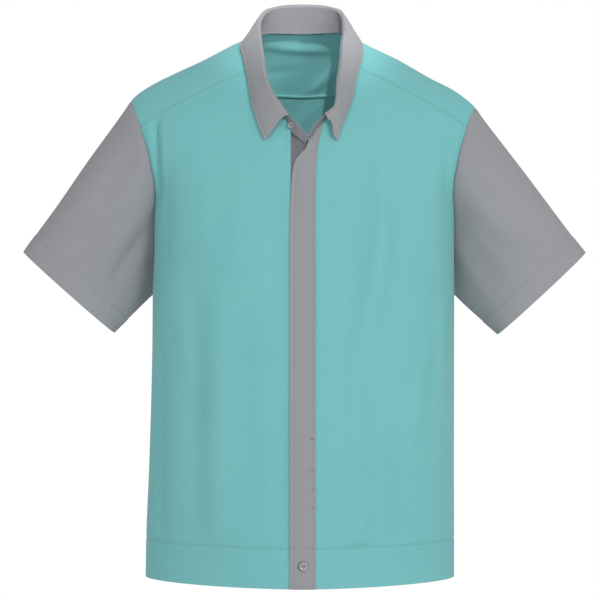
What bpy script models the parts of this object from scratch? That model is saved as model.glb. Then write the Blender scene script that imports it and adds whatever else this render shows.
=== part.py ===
"""A short-sleeved button-front shirt, filled out as if worn, with nobody in it.

Metres, +Z up, front towards -Y, the wearer's left towards +X.  The origin is at the nape, on
the inner face of the yoke at centre back.  Every cloth piece is a thin closed wall, and all of
them are read from one trunk surface and two sleeves, so neighbours meet at their seams.
"""
import bmesh
import bpy
import math
from collections import namedtuple
from mathutils import Vector

# ---------------------------------------------------------------- driving dimensions (metres)
CLOTH = 0.0012            # one layer of shirting, with its turned edges
COLLAR_CLOTH = 0.0018     # interlined collar
GAP = 0.0003              # between pieces that lie on each other
SEAM_GAP = 0.0006         # along the cloth between two panels, so that their walls stay 0.3 mm apart
SLEEVE_GAP = 0.0006       # between a sleeve and the armhole it is sewn into

HEM = -0.744              # lower edge of the hem band
BAND_TOP = -0.691         # seam between the body and the hem band
UNDERARM = -0.356         # lowest point of the armhole
LAP_TOP = -0.250          # above this height the fly starts to turn open

FRONT_START = -0.330      # height at which the front starts to slope back to the shoulder
BACK_START = -0.270
FRONT_POWER = 1.5         # roundness of the front slope, seen from the side
BACK_POWER = 1.7

SEAM_ANGLE = 5.5          # side seam, degrees behind the widest line of the trunk
SEAM_HALF = 0.12          # half of the gap at the side seam, in degrees
TIP_X = 0.240             # shoulder tip, from the centre line
YOKE_END_FRONT = -0.130   # heights at which the yoke seams run into the armhole
YOKE_END_BACK = -0.138
YOKE_FAN = 0.100          # x on the back seam of the yoke that faces the end of the neck seam
UNDERLAP = 0.006          # width of left front that lies under the fly
UNDER_EDGE = 0.0008       # how far the right front's own edge lies inside the fly's edge
LAP_GAP = 0.0006          # between the fly and the front under it
FLY_TOP_LEFT = -0.1516    # where the two edges of the fly meet the neck seam
FLY_TOP_RIGHT = -0.1288
UNDER_TOP_LEFT = -0.1440  # the same for the under placket
UNDER_TOP_RIGHT = -0.1655

FOLD_GAP = 0.0022         # between the top of the stand and the fall that is folded over it
FALL_LIFT = 0.0040        # outer face of the fall's edge above the yoke and fronts
ROLL_SWELL = 0.0036       # roundness of the roll at the fold
FALL_BOW = 0.0018         # outward bow of the fall between fold and edge
FALL_BUNCHING = 1.3       # power that brings the fall's rows closer together near the fold

STAND_BUTTON = 0.0085     # diameters and thickness of the buttons
BAND_BUTTON = 0.0118
BUTTON_THICK = 0.0022
BUTTON_RIM = 0.0005
BUTTON_STEM = 0.0008      # the stand curves under its button, so the button stands off it
BUTTON_SEGMENTS = 24
STAND_BUTTON_UP = 0.45     # its place between two rows and two columns of the stand
STAND_BUTTON_ALONG = 0.80
BAND_BUTTON_X = 0.0008
BAND_BUTTON_Z = -0.7140

SIDES = {"right": -1, "left": 1}

# Level sections of the trunk: half widths, depths, and power of the curve, from pointed at the
# side seams (under 2) to square.  Above the underarm the half widths go on past the armhole.
Section = namedtuple("Section", "height right left front back power")
SECTIONS = (
    Section(-0.744, 0.2156, 0.2070, 0.135, 0.128, 1.62),
    Section(-0.691, 0.2148, 0.2070, 0.135, 0.128, 1.62),
    Section(-0.600, 0.2110, 0.2069, 0.134, 0.127, 1.72),
    Section(-0.500, 0.2078, 0.2069, 0.132, 0.127, 1.86),
    Section(-0.420, 0.2060, 0.2068, 0.131, 0.127, 2.02),
    Section(-0.356, 0.2052, 0.2068, 0.130, 0.127, 2.18),
    Section(-0.290, 0.2030, 0.2066, 0.130, 0.127, 2.34),
    Section(-0.232, 0.2035, 0.2075, 0.130, 0.127, 2.46),
    Section(-0.210, 0.2085, 0.2120, 0.130, 0.127, 2.50),
    Section(-0.187, 0.2205, 0.2230, 0.130, 0.127, 2.50),
    Section(-0.161, 0.2360, 0.2385, 0.130, 0.127, 2.50),
    Section(-0.130, 0.2600, 0.2620, 0.130, 0.127, 2.50),
    Section(-0.095, 0.2850, 0.2870, 0.130, 0.127, 2.50),
    Section(0.060, 0.3100, 0.3100, 0.130, 0.127, 2.50),
)

# Height of the shoulder ridge, from the centre line out.  Inside the neck it only guides the curve.
Ridge = namedtuple("Ridge", "x right left")
RIDGE = (
    Ridge(0.0000, 0.0440, 0.0440),
    Ridge(0.0300, 0.0300, 0.0305),
    Ridge(0.0600, 0.0035, 0.0050),
    Ridge(0.0705, -0.0081, -0.0047),
    Ridge(0.0820, -0.0108, -0.0140),
    Ridge(0.0925, -0.0147, -0.0198),
    Ridge(0.1050, -0.0210, -0.0256),
    Ridge(0.1180, -0.0279, -0.0313),
    Ridge(0.1300, -0.0345, -0.0370),
    Ridge(0.1740, -0.0555, -0.0620),
    Ridge(0.2055, -0.0715, -0.0780),
    Ridge(0.2285, -0.0865, -0.0950),
    Ridge(0.2400, -0.0975, -0.1065),
    Ridge(0.2600, -0.1200, -0.1300),
)

# The armhole below the yoke: degrees in front of (-) or behind (+) the widest line of the trunk.
Armhole = namedtuple("Armhole", "height front back")
ARMHOLE = (
    Armhole(-0.356, 5.5, 5.5),
    Armhole(-0.344, 4.0, 9.5),
    Armhole(-0.325, 2.0, 14.0),
    Armhole(-0.295, -1.0, 18.5),
    Armhole(-0.262, -4.5, 21.5),
    Armhole(-0.232, -11.5, 24.0),
    Armhole(-0.210, -18.2, 26.5),
    Armhole(-0.187, -25.0, 30.0),
    Armhole(-0.161, -30.4, 34.0),
    Armhole(-0.130, -35.5, 38.0),
)

# Seams of the yoke: their heights, from the centre line out.
YokeSeam = namedtuple("YokeSeam", "x front back")
YOKE_SEAMS = (
    YokeSeam(0.000, -0.0400, -0.0792),
    YokeSeam(0.045, -0.0480, -0.0769),
    YokeSeam(0.080, -0.0590, -0.0812),
    YokeSeam(0.130, -0.0800, -0.0930),
    YokeSeam(0.180, -0.1060, -0.1120),
    YokeSeam(0.222, -0.1300, -0.1380),
)

# The collar, a row for each station from centre back to the front end of the stand.  The neck
# seam and the edge of the fall are on the trunk: x from the centre line, and degrees of roll
# behind (+) or in front of (-) the shoulder ridge.  The fold is given in space, y from mid depth.
Station = namedtuple("Station", "neck_x neck_roll fold_x fold_y fold_z edge_x edge_roll")
COLLAR_BACK = (
    Station(0.0000, 26.9, 0.0000, 0.0470, 0.0416, 0.0000, 30.3),
    Station(0.0240, 23.9, 0.0195, 0.0455, 0.0412, 0.0280, 26.8),
    Station(0.0440, 17.4, 0.0360, 0.0400, 0.0390, 0.0520, 19.1),
    Station(0.0580, 10.2, 0.0475, 0.0300, 0.0347, 0.0665, 10.0),
)
COLLAR_FRONT = {
    "right": (
        Station(0.0668, 3.0, 0.0540, 0.0155, 0.0268, 0.0735, 2.0),
        Station(0.0695, -8.7, 0.0605, -0.0060, 0.0150, 0.0758, -5.0),
        Station(0.0690, -20.3, 0.0590, -0.0326, -0.0045, 0.0830, -14.5),
        Station(0.0665, -27.8, 0.0568, -0.0505, -0.0240, 0.0812, -20.0),
        Station(0.0625, -32.9, 0.0539, -0.0635, -0.0410, 0.0780, -26.5),
        Station(0.0570, -37.6, 0.0513, -0.0737, -0.0595, 0.0734, -32.6),
        Station(0.0505, -41.2, 0.0478, -0.0829, -0.0762, 0.0690, -38.6),
        Station(0.0410, -44.7, 0.0394, -0.0899, -0.0945, 0.0630, -44.6),
        Station(0.0315, -47.6, 0.0294, -0.0962, -0.1098, 0.0558, -49.9),
        Station(0.0240, -49.5, 0.0203, -0.0987, -0.1216, 0.0509, -52.7),
    ),
    "left": (
        Station(0.0640, 3.0, 0.0500, 0.0155, 0.0268, 0.0672, 2.0),
        Station(0.0656, -8.4, 0.0562, -0.0057, 0.0165, 0.0688, -5.0),
        Station(0.0662, -20.2, 0.0560, -0.0324, -0.0045, 0.0772, -14.0),
        Station(0.0650, -27.7, 0.0526, -0.0503, -0.0240, 0.0789, -20.0),
        Station(0.0605, -32.8, 0.0514, -0.0632, -0.0410, 0.0755, -26.6),
        Station(0.0560, -37.5, 0.0488, -0.0735, -0.0595, 0.0707, -32.6),
        Station(0.0515, -41.1, 0.0464, -0.0828, -0.0762, 0.0665, -38.6),
        Station(0.0465, -44.4, 0.0456, -0.0901, -0.0945, 0.0595, -44.3),
        Station(0.0403, -46.7, 0.0424, -0.0964, -0.1100, 0.0505, -49.7),
        Station(0.0325, -48.6, 0.0300, -0.0988, -0.1205, 0.0459, -53.4),
    ),
}
# The ends of the stand, past the fall: both run to the foot of the V.  The right end goes on
# under the fly, past the centre line, so its x turns negative.
StandEnd = namedtuple("StandEnd", "neck_x neck_roll fold_x fold_y fold_z")
STAND_ENDS = {
    "right": (
        StandEnd(0.0165, -52.8, 0.0093, -0.1027, -0.1318),
        StandEnd(0.0108, -54.0, 0.0027, -0.1052, -0.1390),
        StandEnd(0.0028, -55.5, -0.0035, -0.1072, -0.1452),
        StandEnd(-0.0020, -56.2, -0.0078, -0.1083, -0.1500),
    ),
    "left": (
        StandEnd(0.0260, -50.2, 0.0211, -0.1027, -0.1287),
        StandEnd(0.0205, -51.7, 0.0138, -0.1057, -0.1366),
        StandEnd(0.0155, -52.8, 0.0105, -0.1077, -0.1436),
        StandEnd(0.0118, -53.8, 0.0098, -0.1098, -0.1497),
    ),
}

# Edges of the fly, x against height.
Lap = namedtuple("Lap", "height left right")
LAP = (
    Lap(-0.744, -0.0173, 0.0158),
    Lap(-0.270, -0.0173, 0.0158),
    Lap(-0.234, -0.0161, 0.0160),
    Lap(-0.207, -0.0146, 0.0163),
    Lap(-0.190, -0.0121, 0.0170),
    Lap(-0.180, -0.0086, 0.0176),
    Lap(-0.172, -0.0021, 0.0183),
    Lap(-0.165, 0.0040, 0.0190),
    Lap(-0.1535, 0.0085, 0.0211),
    Lap(-0.1495, 0.0103, 0.0220),
    Lap(-0.1245, 0.0240, 0.0293),
)

# Stations of the neck seam where the front yoke seam and the edges of the fronts run into it
YOKE_AT_NECK = 7
FRONT_AT_NECK = 14

# The sleeves: the two ends of the cuff edge, seen from the front, and its depth.
Sleeve = namedtuple("Sleeve", "top_x top_z under_x under_z depth forward")
SLEEVES = {
    "right": Sleeve(0.3818, -0.3000, 0.2580, -0.4102, 0.070, 0.004),
    "left": Sleeve(0.3858, -0.3010, 0.2660, -0.4125, 0.070, 0.004),
}
CUFF_POWER = 2.3          # squareness of the cuff's oval
CAP_FULLNESS = 0.006      # how far the sleeve stands out just below the armhole
CAP_POWER = 0.6           # brings its fullest line nearer to the armhole
MITRE_LIMIT = 0.6         # keeps the mitred corner at the armhole from growing long

# The largest folds of the trunk, soft troughs from a top end to a low end, seen from the front;
# depth is how far the cloth sinks, and width is the half width of the trough.
Fold = namedtuple("Fold", "face top_x top_z low_x low_z width depth")
FOLDS = (
    Fold("front", -0.150, -0.235, -0.138, -0.735, 0.026, 0.0045),
    Fold("front", -0.078, -0.330, -0.072, -0.660, 0.022, 0.0025),
    Fold("front", 0.052, -0.225, 0.078, -0.640, 0.024, 0.0045),
    Fold("front", 0.166, -0.300, 0.158, -0.720, 0.020, 0.0035),
    Fold("back", -0.112, -0.170, -0.098, -0.735, 0.026, 0.0055),
    Fold("back", -0.018, -0.260, -0.030, -0.640, 0.024, 0.0030),
    Fold("back", 0.088, -0.150, 0.104, -0.690, 0.028, 0.0060),
    Fold("back", 0.168, -0.330, 0.160, -0.735, 0.018, 0.0030),
)
# The same for the sleeves: degrees round the sleeve from its top over its front, and shares of its
# length from the armhole down.
SleeveFold = namedtuple("SleeveFold", "side turn spread start end depth")
SLEEVE_FOLDS = (
    SleeveFold("right", 62.0, 20.0, 0.05, 0.80, 0.0040),
    SleeveFold("right", 128.0, 20.0, 0.00, 0.75, 0.0045),
    SleeveFold("right", -95.0, 24.0, 0.05, 0.90, 0.0045),
    SleeveFold("left", 118.0, 22.0, 0.00, 0.70, 0.0040),
    SleeveFold("left", -70.0, 22.0, 0.05, 0.75, 0.0035),
    SleeveFold("left", -132.0, 20.0, 0.00, 0.85, 0.0040),
)

# Rows and columns of the grids
BODY_ROWS = 7             # from the band up to the underarm
LOWER_ARM_ROWS = 7        # from the underarm up to the foot of the neck seam
ARM_ROWS = LOWER_ARM_ROWS + FRONT_AT_NECK - YOKE_AT_NECK
FRONT_COLUMNS = 12
BACK_COLUMNS = 2 * (YOKE_AT_NECK + FRONT_COLUMNS)
YOKE_ROWS = 8
SLEEVE_ROWS = 8
FALL_ROWS = 5
STAND_ROWS = 3
BAND_ROWS = 2
LAP_ROWS = 20
LAP_COLUMNS = 2
ARM_BUNCHING = 0.35       # how much closer the armhole rows lie near the underarm
FOLD_ENDS = 0.7           # how full a fold stays towards its ends
SEAM_POWER = 3            # rows near the yoke follow the curve of its seam, lower ones don't
TIP_POWER = 4             # keeps the rounding of the shoulder tip near the armhole
EDGE_ROLL_STEP = 2.0      # steps along the surface, to find which way it faces
EDGE_X_STEP = 0.004

TEAL = (0.178, 0.492, 0.482, 1.0)
GREY = (0.335, 0.340, 0.365, 1.0)
BUTTON_GREY = (0.42, 0.42, 0.43, 1.0)
CLOTH_ROUGHNESS = 0.85
BUTTON_ROUGHNESS = 0.35
SHARP_ANGLE = 50.0        # degrees


# ---------------------------------------------------------------- reading the tables
def read(rows, key, column, at):
    """Smooth value of one column of a table, without overshoot, read at a value of its key."""
    keys = [getattr(row, key) for row in rows]
    values = [getattr(row, column) for row in rows]
    if at <= keys[0]:
        return values[0]
    if at >= keys[-1]:
        return values[-1]
    steps = [(values[i + 1] - values[i]) / (keys[i + 1] - keys[i]) for i in range(len(keys) - 1)]

    def tangent(i):
        if i == 0 or i == len(keys) - 1:
            return steps[0] if i == 0 else steps[-1]
        if steps[i - 1] * steps[i] <= 0.0:
            return 0.0
        return 2.0 * steps[i - 1] * steps[i] / (steps[i - 1] + steps[i])

    i = max(j for j in range(len(keys) - 1) if keys[j] <= at)
    span = keys[i + 1] - keys[i]
    t = (at - keys[i]) / span
    return (
        (2 * t ** 3 - 3 * t ** 2 + 1) * values[i]
        + (t ** 3 - 2 * t ** 2 + t) * span * tangent(i)
        + (3 * t ** 2 - 2 * t ** 3) * values[i + 1]
        + (t ** 3 - t ** 2) * span * tangent(i + 1)
    )


def mix(a, b, t):
    """Straight mix of two values: a at t 0, b at t 1."""
    return a + (b - a) * t


def side_name(x):
    return "right" if x < 0.0 else "left"


# ---------------------------------------------------------------- the trunk surface
def half_width(height, side):
    """Half width of the trunk at a height, on the wearer's right or left."""
    return read(SECTIONS, "height", side, height)


def squareness(height):
    """Power of the curve of a level section."""
    return read(SECTIONS, "height", "power", height)


def ridge(x):
    """Height of the shoulder ridge."""
    return read(RIDGE, "x", side_name(x), abs(x))


def slope(x, z, back):
    """How much of the depth is left at a height, between its start (1) and the ridge (0)."""
    start = BACK_START if back else FRONT_START
    power = BACK_POWER if back else FRONT_POWER
    rise = min(max((z - start) / (ridge(x) - start), 0.0), 1.0)
    return (1.0 - rise ** power) ** (1.0 / power)


def level_reach(x, z):
    """Share of the depth that the level section keeps at a distance from the centre line."""
    share = min(abs(x) / half_width(z, side_name(x)), 1.0)
    power = squareness(z)
    return (1.0 - share ** power) ** (1.0 / power)


def depth(z, back):
    """Depth of the trunk in front of or behind its middle plane, before the slope."""
    return read(SECTIONS, "height", "back" if back else "front", z)


def taper(t):
    """Share of a fold's depth along its length: 0 at both ends, 1 in the middle."""
    return math.sin(math.pi * t) ** FOLD_ENDS if 0.0 < t < 1.0 else 0.0


def sag(x, z, back):
    """How far the folds let the trunk sink at a place in a front view."""
    total = 0.0
    for fold in FOLDS:
        if (fold.face == "back") == back:
            run_x = fold.low_x - fold.top_x
            run_z = fold.low_z - fold.top_z
            length = math.hypot(run_x, run_z)
            t = ((x - fold.top_x) * run_x + (z - fold.top_z) * run_z) / length ** 2
            aside = ((x - fold.top_x) * run_z - (z - fold.top_z) * run_x) / length
            total += fold.depth * taper(t) * math.exp(-(aside / fold.width) ** 2)
    return total


NAPE_DEPTH = depth(0.0, True) * slope(0.0, 0.0, True)
MID_Y = CLOTH - NAPE_DEPTH     # the plane of the shoulder ridge and of the widest line


def girth_point(angle, z, side):
    """Point by its angle round the trunk: -90 centre front, 0 widest line, 90 centre back.

    An angle under -90 lies past the centre front, on the other side.
    """
    turn = math.radians(angle)
    across = math.cos(turn)
    power = 2.0 / squareness(z)
    x = math.copysign(abs(across) ** power, across) * SIDES[side] * half_width(z, side)
    reach = abs(math.sin(turn)) ** power
    back = angle > 0.0
    y = depth(z, back) * reach * slope(x, z, back) - sag(x, z, back) * reach
    return Vector((x, MID_Y + (y if back else -y), z))


def girth_angle(x, z, side, back=False):
    """Angle of a point; in front, one past the centre line has an angle under -90."""
    share = min(abs(x) / half_width(z, side), 1.0)
    angle = math.degrees(math.acos(share ** (squareness(z) / 2.0)))
    if x * SIDES[side] < 0.0:
        angle = 180.0 - angle
    return angle if back else -angle


def front_point(x, z):
    """Point of the front by its place in a front view."""
    y = (depth(z, False) * slope(x, z, False) - sag(x, z, False)) * level_reach(x, z)
    return Vector((x, MID_Y - y, z))


def roll_point(x, roll):
    """Point by its roll over the shoulder: negative in front of the ridge, positive behind."""
    back = roll > 0.0
    start = BACK_START if back else FRONT_START
    power = BACK_POWER if back else FRONT_POWER
    turn = math.radians(abs(roll))
    z = start + (ridge(x) - start) * math.cos(turn) ** (2.0 / power)
    y = (depth(z, back) * math.sin(turn) ** (2.0 / power) - sag(x, z, back)) * level_reach(x, z)
    return Vector((x, MID_Y + (y if back else -y), z))


def roll_angle(x, z, back):
    """Roll over the shoulder of the point at a height."""
    start = BACK_START if back else FRONT_START
    power = BACK_POWER if back else FRONT_POWER
    rise = min(max((z - start) / (ridge(x) - start), 0.0), 1.0)
    roll = math.degrees(math.acos(rise ** (power / 2.0)))
    return roll if back else -roll


# ---------------------------------------------------------------- walls
def normals(grid, closed=False):
    """Unit normals of a grid of points, along (next in row) x (next row)."""
    rows = len(grid)
    columns = len(grid[0])
    result = []
    for i in range(rows):
        line = []
        for j in range(columns):
            before = grid[i][(j - 1) % columns] if closed or j > 0 else grid[i][j]
            after = grid[i][(j + 1) % columns] if closed or j < columns - 1 else grid[i][j]
            below = grid[max(i - 1, 0)][j]
            above = grid[min(i + 1, rows - 1)][j]
            line.append((after - before).cross(above - below).normalized())
        result.append(line)
    return result


def moved(grid, directions, distance):
    """The grid, with each point moved along its direction."""
    return [[p + n * distance for p, n in zip(line, ways)] for line, ways in zip(grid, directions)]


def material(name, colour, roughness):
    finish = bpy.data.materials.new(name)
    finish.use_nodes = True
    shader = finish.node_tree.nodes["Principled BSDF"]
    shader.inputs["Base Color"].default_value = colour
    shader.inputs["Roughness"].default_value = roughness
    shader.inputs["Metallic"].default_value = 0.0
    finish.diffuse_color = colour
    return finish


def add_mesh(name, points, faces, colour, roughness):
    mesh = bpy.data.meshes.new(name)
    mesh.from_pydata(points, [], faces)
    mesh.validate()
    mesh.shade_smooth()
    mesh.set_sharp_from_angle(angle=math.radians(SHARP_ANGLE))
    thing = bpy.data.objects.new(name, mesh)
    bpy.context.scene.collection.objects.link(thing)
    mesh.materials.append(material(name, colour, roughness))
    return thing


def wall(name, outer, inner, colour, closed=False):
    """Closed wall between two grids: rows run up, and (next in row) x (next row) points out."""
    rows = len(outer)
    columns = len(outer[0])
    count = rows * columns
    points = [p for line in outer for p in line] + [p for line in inner for p in line]
    spans = columns if closed else columns - 1

    def at(i, j, layer):
        return layer * count + i * columns + j % columns

    faces = []
    for i in range(rows - 1):
        for j in range(spans):
            faces.append((at(i, j, 0), at(i, j + 1, 0), at(i + 1, j + 1, 0), at(i + 1, j, 0)))
            faces.append((at(i, j, 1), at(i + 1, j, 1), at(i + 1, j + 1, 1), at(i, j + 1, 1)))
    for j in range(spans):
        faces.append((at(0, j, 1), at(0, j + 1, 1), at(0, j + 1, 0), at(0, j, 0)))
        faces.append((at(rows - 1, j, 0), at(rows - 1, j + 1, 0), at(rows - 1, j + 1, 1),
                      at(rows - 1, j, 1)))
    if not closed:
        for i in range(rows - 1):
            faces.append((at(i, 0, 0), at(i + 1, 0, 0), at(i + 1, 0, 1), at(i, 0, 1)))
            last = columns - 1
            faces.append((at(i, last, 1), at(i + 1, last, 1), at(i + 1, last, 0), at(i, last, 0)))
    return add_mesh(name, points, faces, colour, CLOTH_ROUGHNESS)


def cloth(name, grid, colour, thickness=CLOTH, lift=0.0):
    """Cloth wall whose outer face is the grid, or lies the lift outside it."""
    ways = normals(grid)
    outer = moved(grid, ways, lift)
    inner = moved(grid, ways, lift - thickness)
    return wall(name, outer, inner, colour)


# ---------------------------------------------------------------- body panels
def arm_height(step, top):
    """Height of an armhole row; the rows are closer together near the underarm."""
    t = step / ARM_ROWS
    return mix(UNDERARM, top, mix(t, t * t, ARM_BUNCHING))


def body_height(step):
    """Height of a row of the fronts and back below the underarm."""
    return mix(BAND_TOP + SEAM_GAP, UNDERARM, step / BODY_ROWS)


def arm_point(side, z, back):
    """Point of the armhole at a height."""
    angle = read(ARMHOLE, "height", "back" if back else "front", z)
    return girth_point(angle, z, side)


def yoke_end(side, back):
    """Where a yoke seam runs into the armhole."""
    return arm_point(side, YOKE_END_BACK if back else YOKE_END_FRONT, back)


def seam_height(side, x, back):
    """Height of a yoke seam, bent a little so that it runs from the neck into the armhole."""
    column = "back" if back else "front"
    start = Vector() if back else roll_point(*neck_seam(side, YOKE_AT_NECK))
    end = yoke_end(side, back)
    start_miss = 0.0 if back else start.z - read(YOKE_SEAMS, "x", column, abs(start.x))
    end_miss = end.z - read(YOKE_SEAMS, "x", column, abs(end.x))
    miss = mix(start_miss, end_miss, (x - start.x) / (end.x - start.x))
    return read(YOKE_SEAMS, "x", column, abs(x)) + miss


def neck_seam(side, at):
    """Neck seam on one side, as x and roll: 0 at centre back, rising by 1 for each station."""
    stations = COLLAR_BACK + COLLAR_FRONT[side] + STAND_ENDS[side]
    i = min(int(at), len(stations) - 2)
    t = at - i
    x = mix(stations[i].neck_x, stations[i + 1].neck_x, t)
    roll = mix(stations[i].neck_roll, stations[i + 1].neck_roll, t)
    return SIDES[side] * x, roll


def front_edge(side, z):
    """Edge of a front panel under the fly, as x."""
    if side == "right":
        return LAP[0].left + UNDER_EDGE
    return read(LAP, "height", "right", z) - UNDERLAP


def front_grid(side):
    """Front panel: from the fly out to the side seam and armhole, and up to the yoke."""
    neck_z = roll_point(*neck_seam(side, FRONT_AT_NECK)).z
    top = yoke_end(side, False)
    grid = []
    for step in range(BODY_ROWS + ARM_ROWS + 1):
        share = max(step - BODY_ROWS, 0) / ARM_ROWS
        if share == 0.0:
            outer_z = body_height(step)
            outer_angle = SEAM_ANGLE - SEAM_HALF
            inner_z = outer_z
        else:
            outer_z = arm_height(step - BODY_ROWS, top.z)
            outer_angle = read(ARMHOLE, "height", "front", outer_z) - SEAM_HALF
            inner_z = mix(UNDERARM, neck_z, min((step - BODY_ROWS) / LOWER_ARM_ROWS, 1.0))
        inner_x = front_edge(side, inner_z)
        past_foot = step - BODY_ROWS - LOWER_ARM_ROWS
        if past_foot >= 0:
            inner_x, roll = neck_seam(side, FRONT_AT_NECK - past_foot)
            inner_z = roll_point(inner_x, roll).z
        inner_angle = girth_angle(inner_x, inner_z, side)
        outer_x = girth_point(outer_angle, outer_z, side).x
        line = []
        for j in range(FRONT_COLUMNS + 1):
            t = j / FRONT_COLUMNS
            x = mix(inner_x, outer_x, t)
            seam = seam_height(side, x, False) - SEAM_GAP
            straight = mix(seam_height(side, inner_x, False), top.z, t) - SEAM_GAP
            z = mix(inner_z, outer_z, t) + (seam - straight) * share ** SEAM_POWER - SEAM_GAP * share
            angle = mix(inner_angle, outer_angle, t)
            if 0.0 < share and 0 < j < FRONT_COLUMNS:
                angle = mix(angle, girth_angle(x, z, side), share)
            line.append(girth_point(angle, z, side))
        grid.append(line)
    if side == "right":
        grid = [list(reversed(line)) for line in grid]
    return grid


def back_grid():
    """Back panel, from the wearer's left side seam round to the right one, and up to the yoke."""
    grid = []
    for step in range(BODY_ROWS + ARM_ROWS + 1):
        share = max(step - BODY_ROWS, 0) / ARM_ROWS
        line = []
        for j in range(BACK_COLUMNS + 1):
            k = abs(j - BACK_COLUMNS // 2)
            side = "right" if j > BACK_COLUMNS // 2 else "left"
            top = yoke_end(side, True)
            edge_z = body_height(step)
            angle = SEAM_ANGLE
            z = edge_z
            x = back_seam_x(side, k)
            if share > 0.0:
                edge_z = arm_height(step - BODY_ROWS, top.z)
                angle = read(ARMHOLE, "height", "back", edge_z)
                seam = seam_height(side, x, True)
                z = UNDERARM + (seam - UNDERARM) * (edge_z - UNDERARM) / (top.z - UNDERARM)
                z -= SEAM_GAP * share
                x *= girth_point(angle, edge_z, side).x / top.x
            angle = mix(90.0, angle + SEAM_HALF, 2 * k / BACK_COLUMNS)
            if share > 0.0 and 0 < k < BACK_COLUMNS // 2:
                angle = mix(angle, girth_angle(x, z, side, True), share)
            line.append(girth_point(angle, z, side))
        grid.append(line)
    return grid


def back_seam_x(side, k):
    """Where column k from the centre meets the back yoke seam: the yoke and the back share it."""
    fan = SIDES[side] * YOKE_FAN
    if k <= YOKE_AT_NECK:
        return fan * k / YOKE_AT_NECK
    return mix(fan, yoke_end(side, True).x, (k - YOKE_AT_NECK) / FRONT_COLUMNS)


def yoke_column(side, k):
    """Column k of one side of the yoke, from the back seam over the shoulder to the front."""
    front_end = yoke_end(side, False)
    if k <= YOKE_AT_NECK:
        upper_x, upper_roll = neck_seam(side, k)
    else:
        neck_x = neck_seam(side, YOKE_AT_NECK)[0]
        upper_x = mix(neck_x, front_end.x, (k - YOKE_AT_NECK) / FRONT_COLUMNS)
        upper_roll = roll_angle(upper_x, seam_height(side, upper_x, False), False)
    lower_x = back_seam_x(side, k)
    lower_roll = roll_angle(lower_x, seam_height(side, lower_x, True), True)
    out = k / (BACK_COLUMNS // 2)
    column = []
    for i in range(YOKE_ROWS + 1):
        r = i / YOKE_ROWS
        bump = (TIP_X - abs(front_end.x)) * out ** TIP_POWER * 4.0 * r * (1.0 - r)
        x = mix(lower_x, upper_x, r) + SIDES[side] * bump
        column.append(roll_point(x, mix(lower_roll, upper_roll, r)))
    return column


def yoke_grid():
    """Yoke, from the left armhole to the right one: rows from the back seam over to the front."""
    left = [yoke_column("left", k) for k in range(BACK_COLUMNS // 2 + 1)]
    right = [yoke_column("right", k) for k in range(BACK_COLUMNS // 2 + 1)]
    columns = list(reversed(left)) + right[1:]
    return [[column[i] for column in columns] for i in range(YOKE_ROWS + 1)]


# ---------------------------------------------------------------- fly and hem band
def lap_strip(rows, left_of, right_of, low, high_left, high_right):
    """Upright strip on the front between two edges, which rise to the neck seam above LAP_TOP."""
    grid = []
    straight = rows
    if high_left > LAP_TOP:
        straight = int(rows * (LAP_TOP - low) / (high_left - low))
    for i in range(rows + 1):
        level = mix(low, min(LAP_TOP, high_left), min(i / straight, 1.0))
        turn = max(i - straight, 0) / max(rows - straight, 1)
        z_left = mix(level, high_left, turn)
        z_right = mix(level, high_right, turn)
        x_left = left_of(z_left)
        x_right = right_of(z_right)
        line = []
        for j in range(LAP_COLUMNS + 1):
            t = j / LAP_COLUMNS
            line.append(front_point(mix(x_left, x_right, t), mix(z_left, z_right, t)))
        grid.append(line)
    return grid


def fly_left(z):
    return read(LAP, "height", "left", z)


def fly_right(z):
    return read(LAP, "height", "right", z)


def under_left(z):
    return LAP[0].left + UNDER_EDGE + SEAM_GAP


def under_right(z):
    return LAP[0].right - UNDERLAP - SEAM_GAP


def band_strip(side, from_angle, to_angle, columns):
    """Front part of the hem band on one side, between two angles round the trunk."""
    grid = []
    for i in range(BAND_ROWS + 1):
        z = mix(HEM, BAND_TOP - SEAM_GAP, i / BAND_ROWS)
        line = [girth_point(mix(from_angle, to_angle, j / columns), z, side)
                for j in range(columns + 1)]
        grid.append(line if side == "left" else list(reversed(line)))
    return grid


def band_back_grid():
    """Back part of the hem band, between the side seams."""
    grid = []
    for i in range(BAND_ROWS + 1):
        z = mix(HEM, BAND_TOP - SEAM_GAP, i / BAND_ROWS)
        line = []
        for j in range(BACK_COLUMNS + 1):
            across = 1.0 - 2.0 * j / BACK_COLUMNS
            side = "right" if across < 0.0 else "left"
            line.append(girth_point(mix(90.0, SEAM_ANGLE + SEAM_HALF, abs(across)), z, side))
        grid.append(line)
    return grid


# ---------------------------------------------------------------- sleeves
def armhole_ring(side):
    """Points and outward normals round the armhole: underarm, front, shoulder tip, back."""
    front = front_grid(side)
    back = back_grid()
    yoke = yoke_grid()
    front_column = -1 if side == "left" else 0
    other_column = 0 if side == "left" else -1
    front_ways = normals(front)
    back_ways = normals(back)
    yoke_ways = normals(yoke)
    ring = []
    for i in range(BODY_ROWS, BODY_ROWS + ARM_ROWS + 1):
        ring.append((front[i][front_column], front_ways[i][front_column]))
    for i in range(YOKE_ROWS - 1, 0, -1):
        ring.append((yoke[i][other_column], yoke_ways[i][other_column]))
    for i in range(BODY_ROWS + ARM_ROWS, BODY_ROWS, -1):
        ring.append((back[i][other_column], back_ways[i][other_column]))
    return ring


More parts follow.
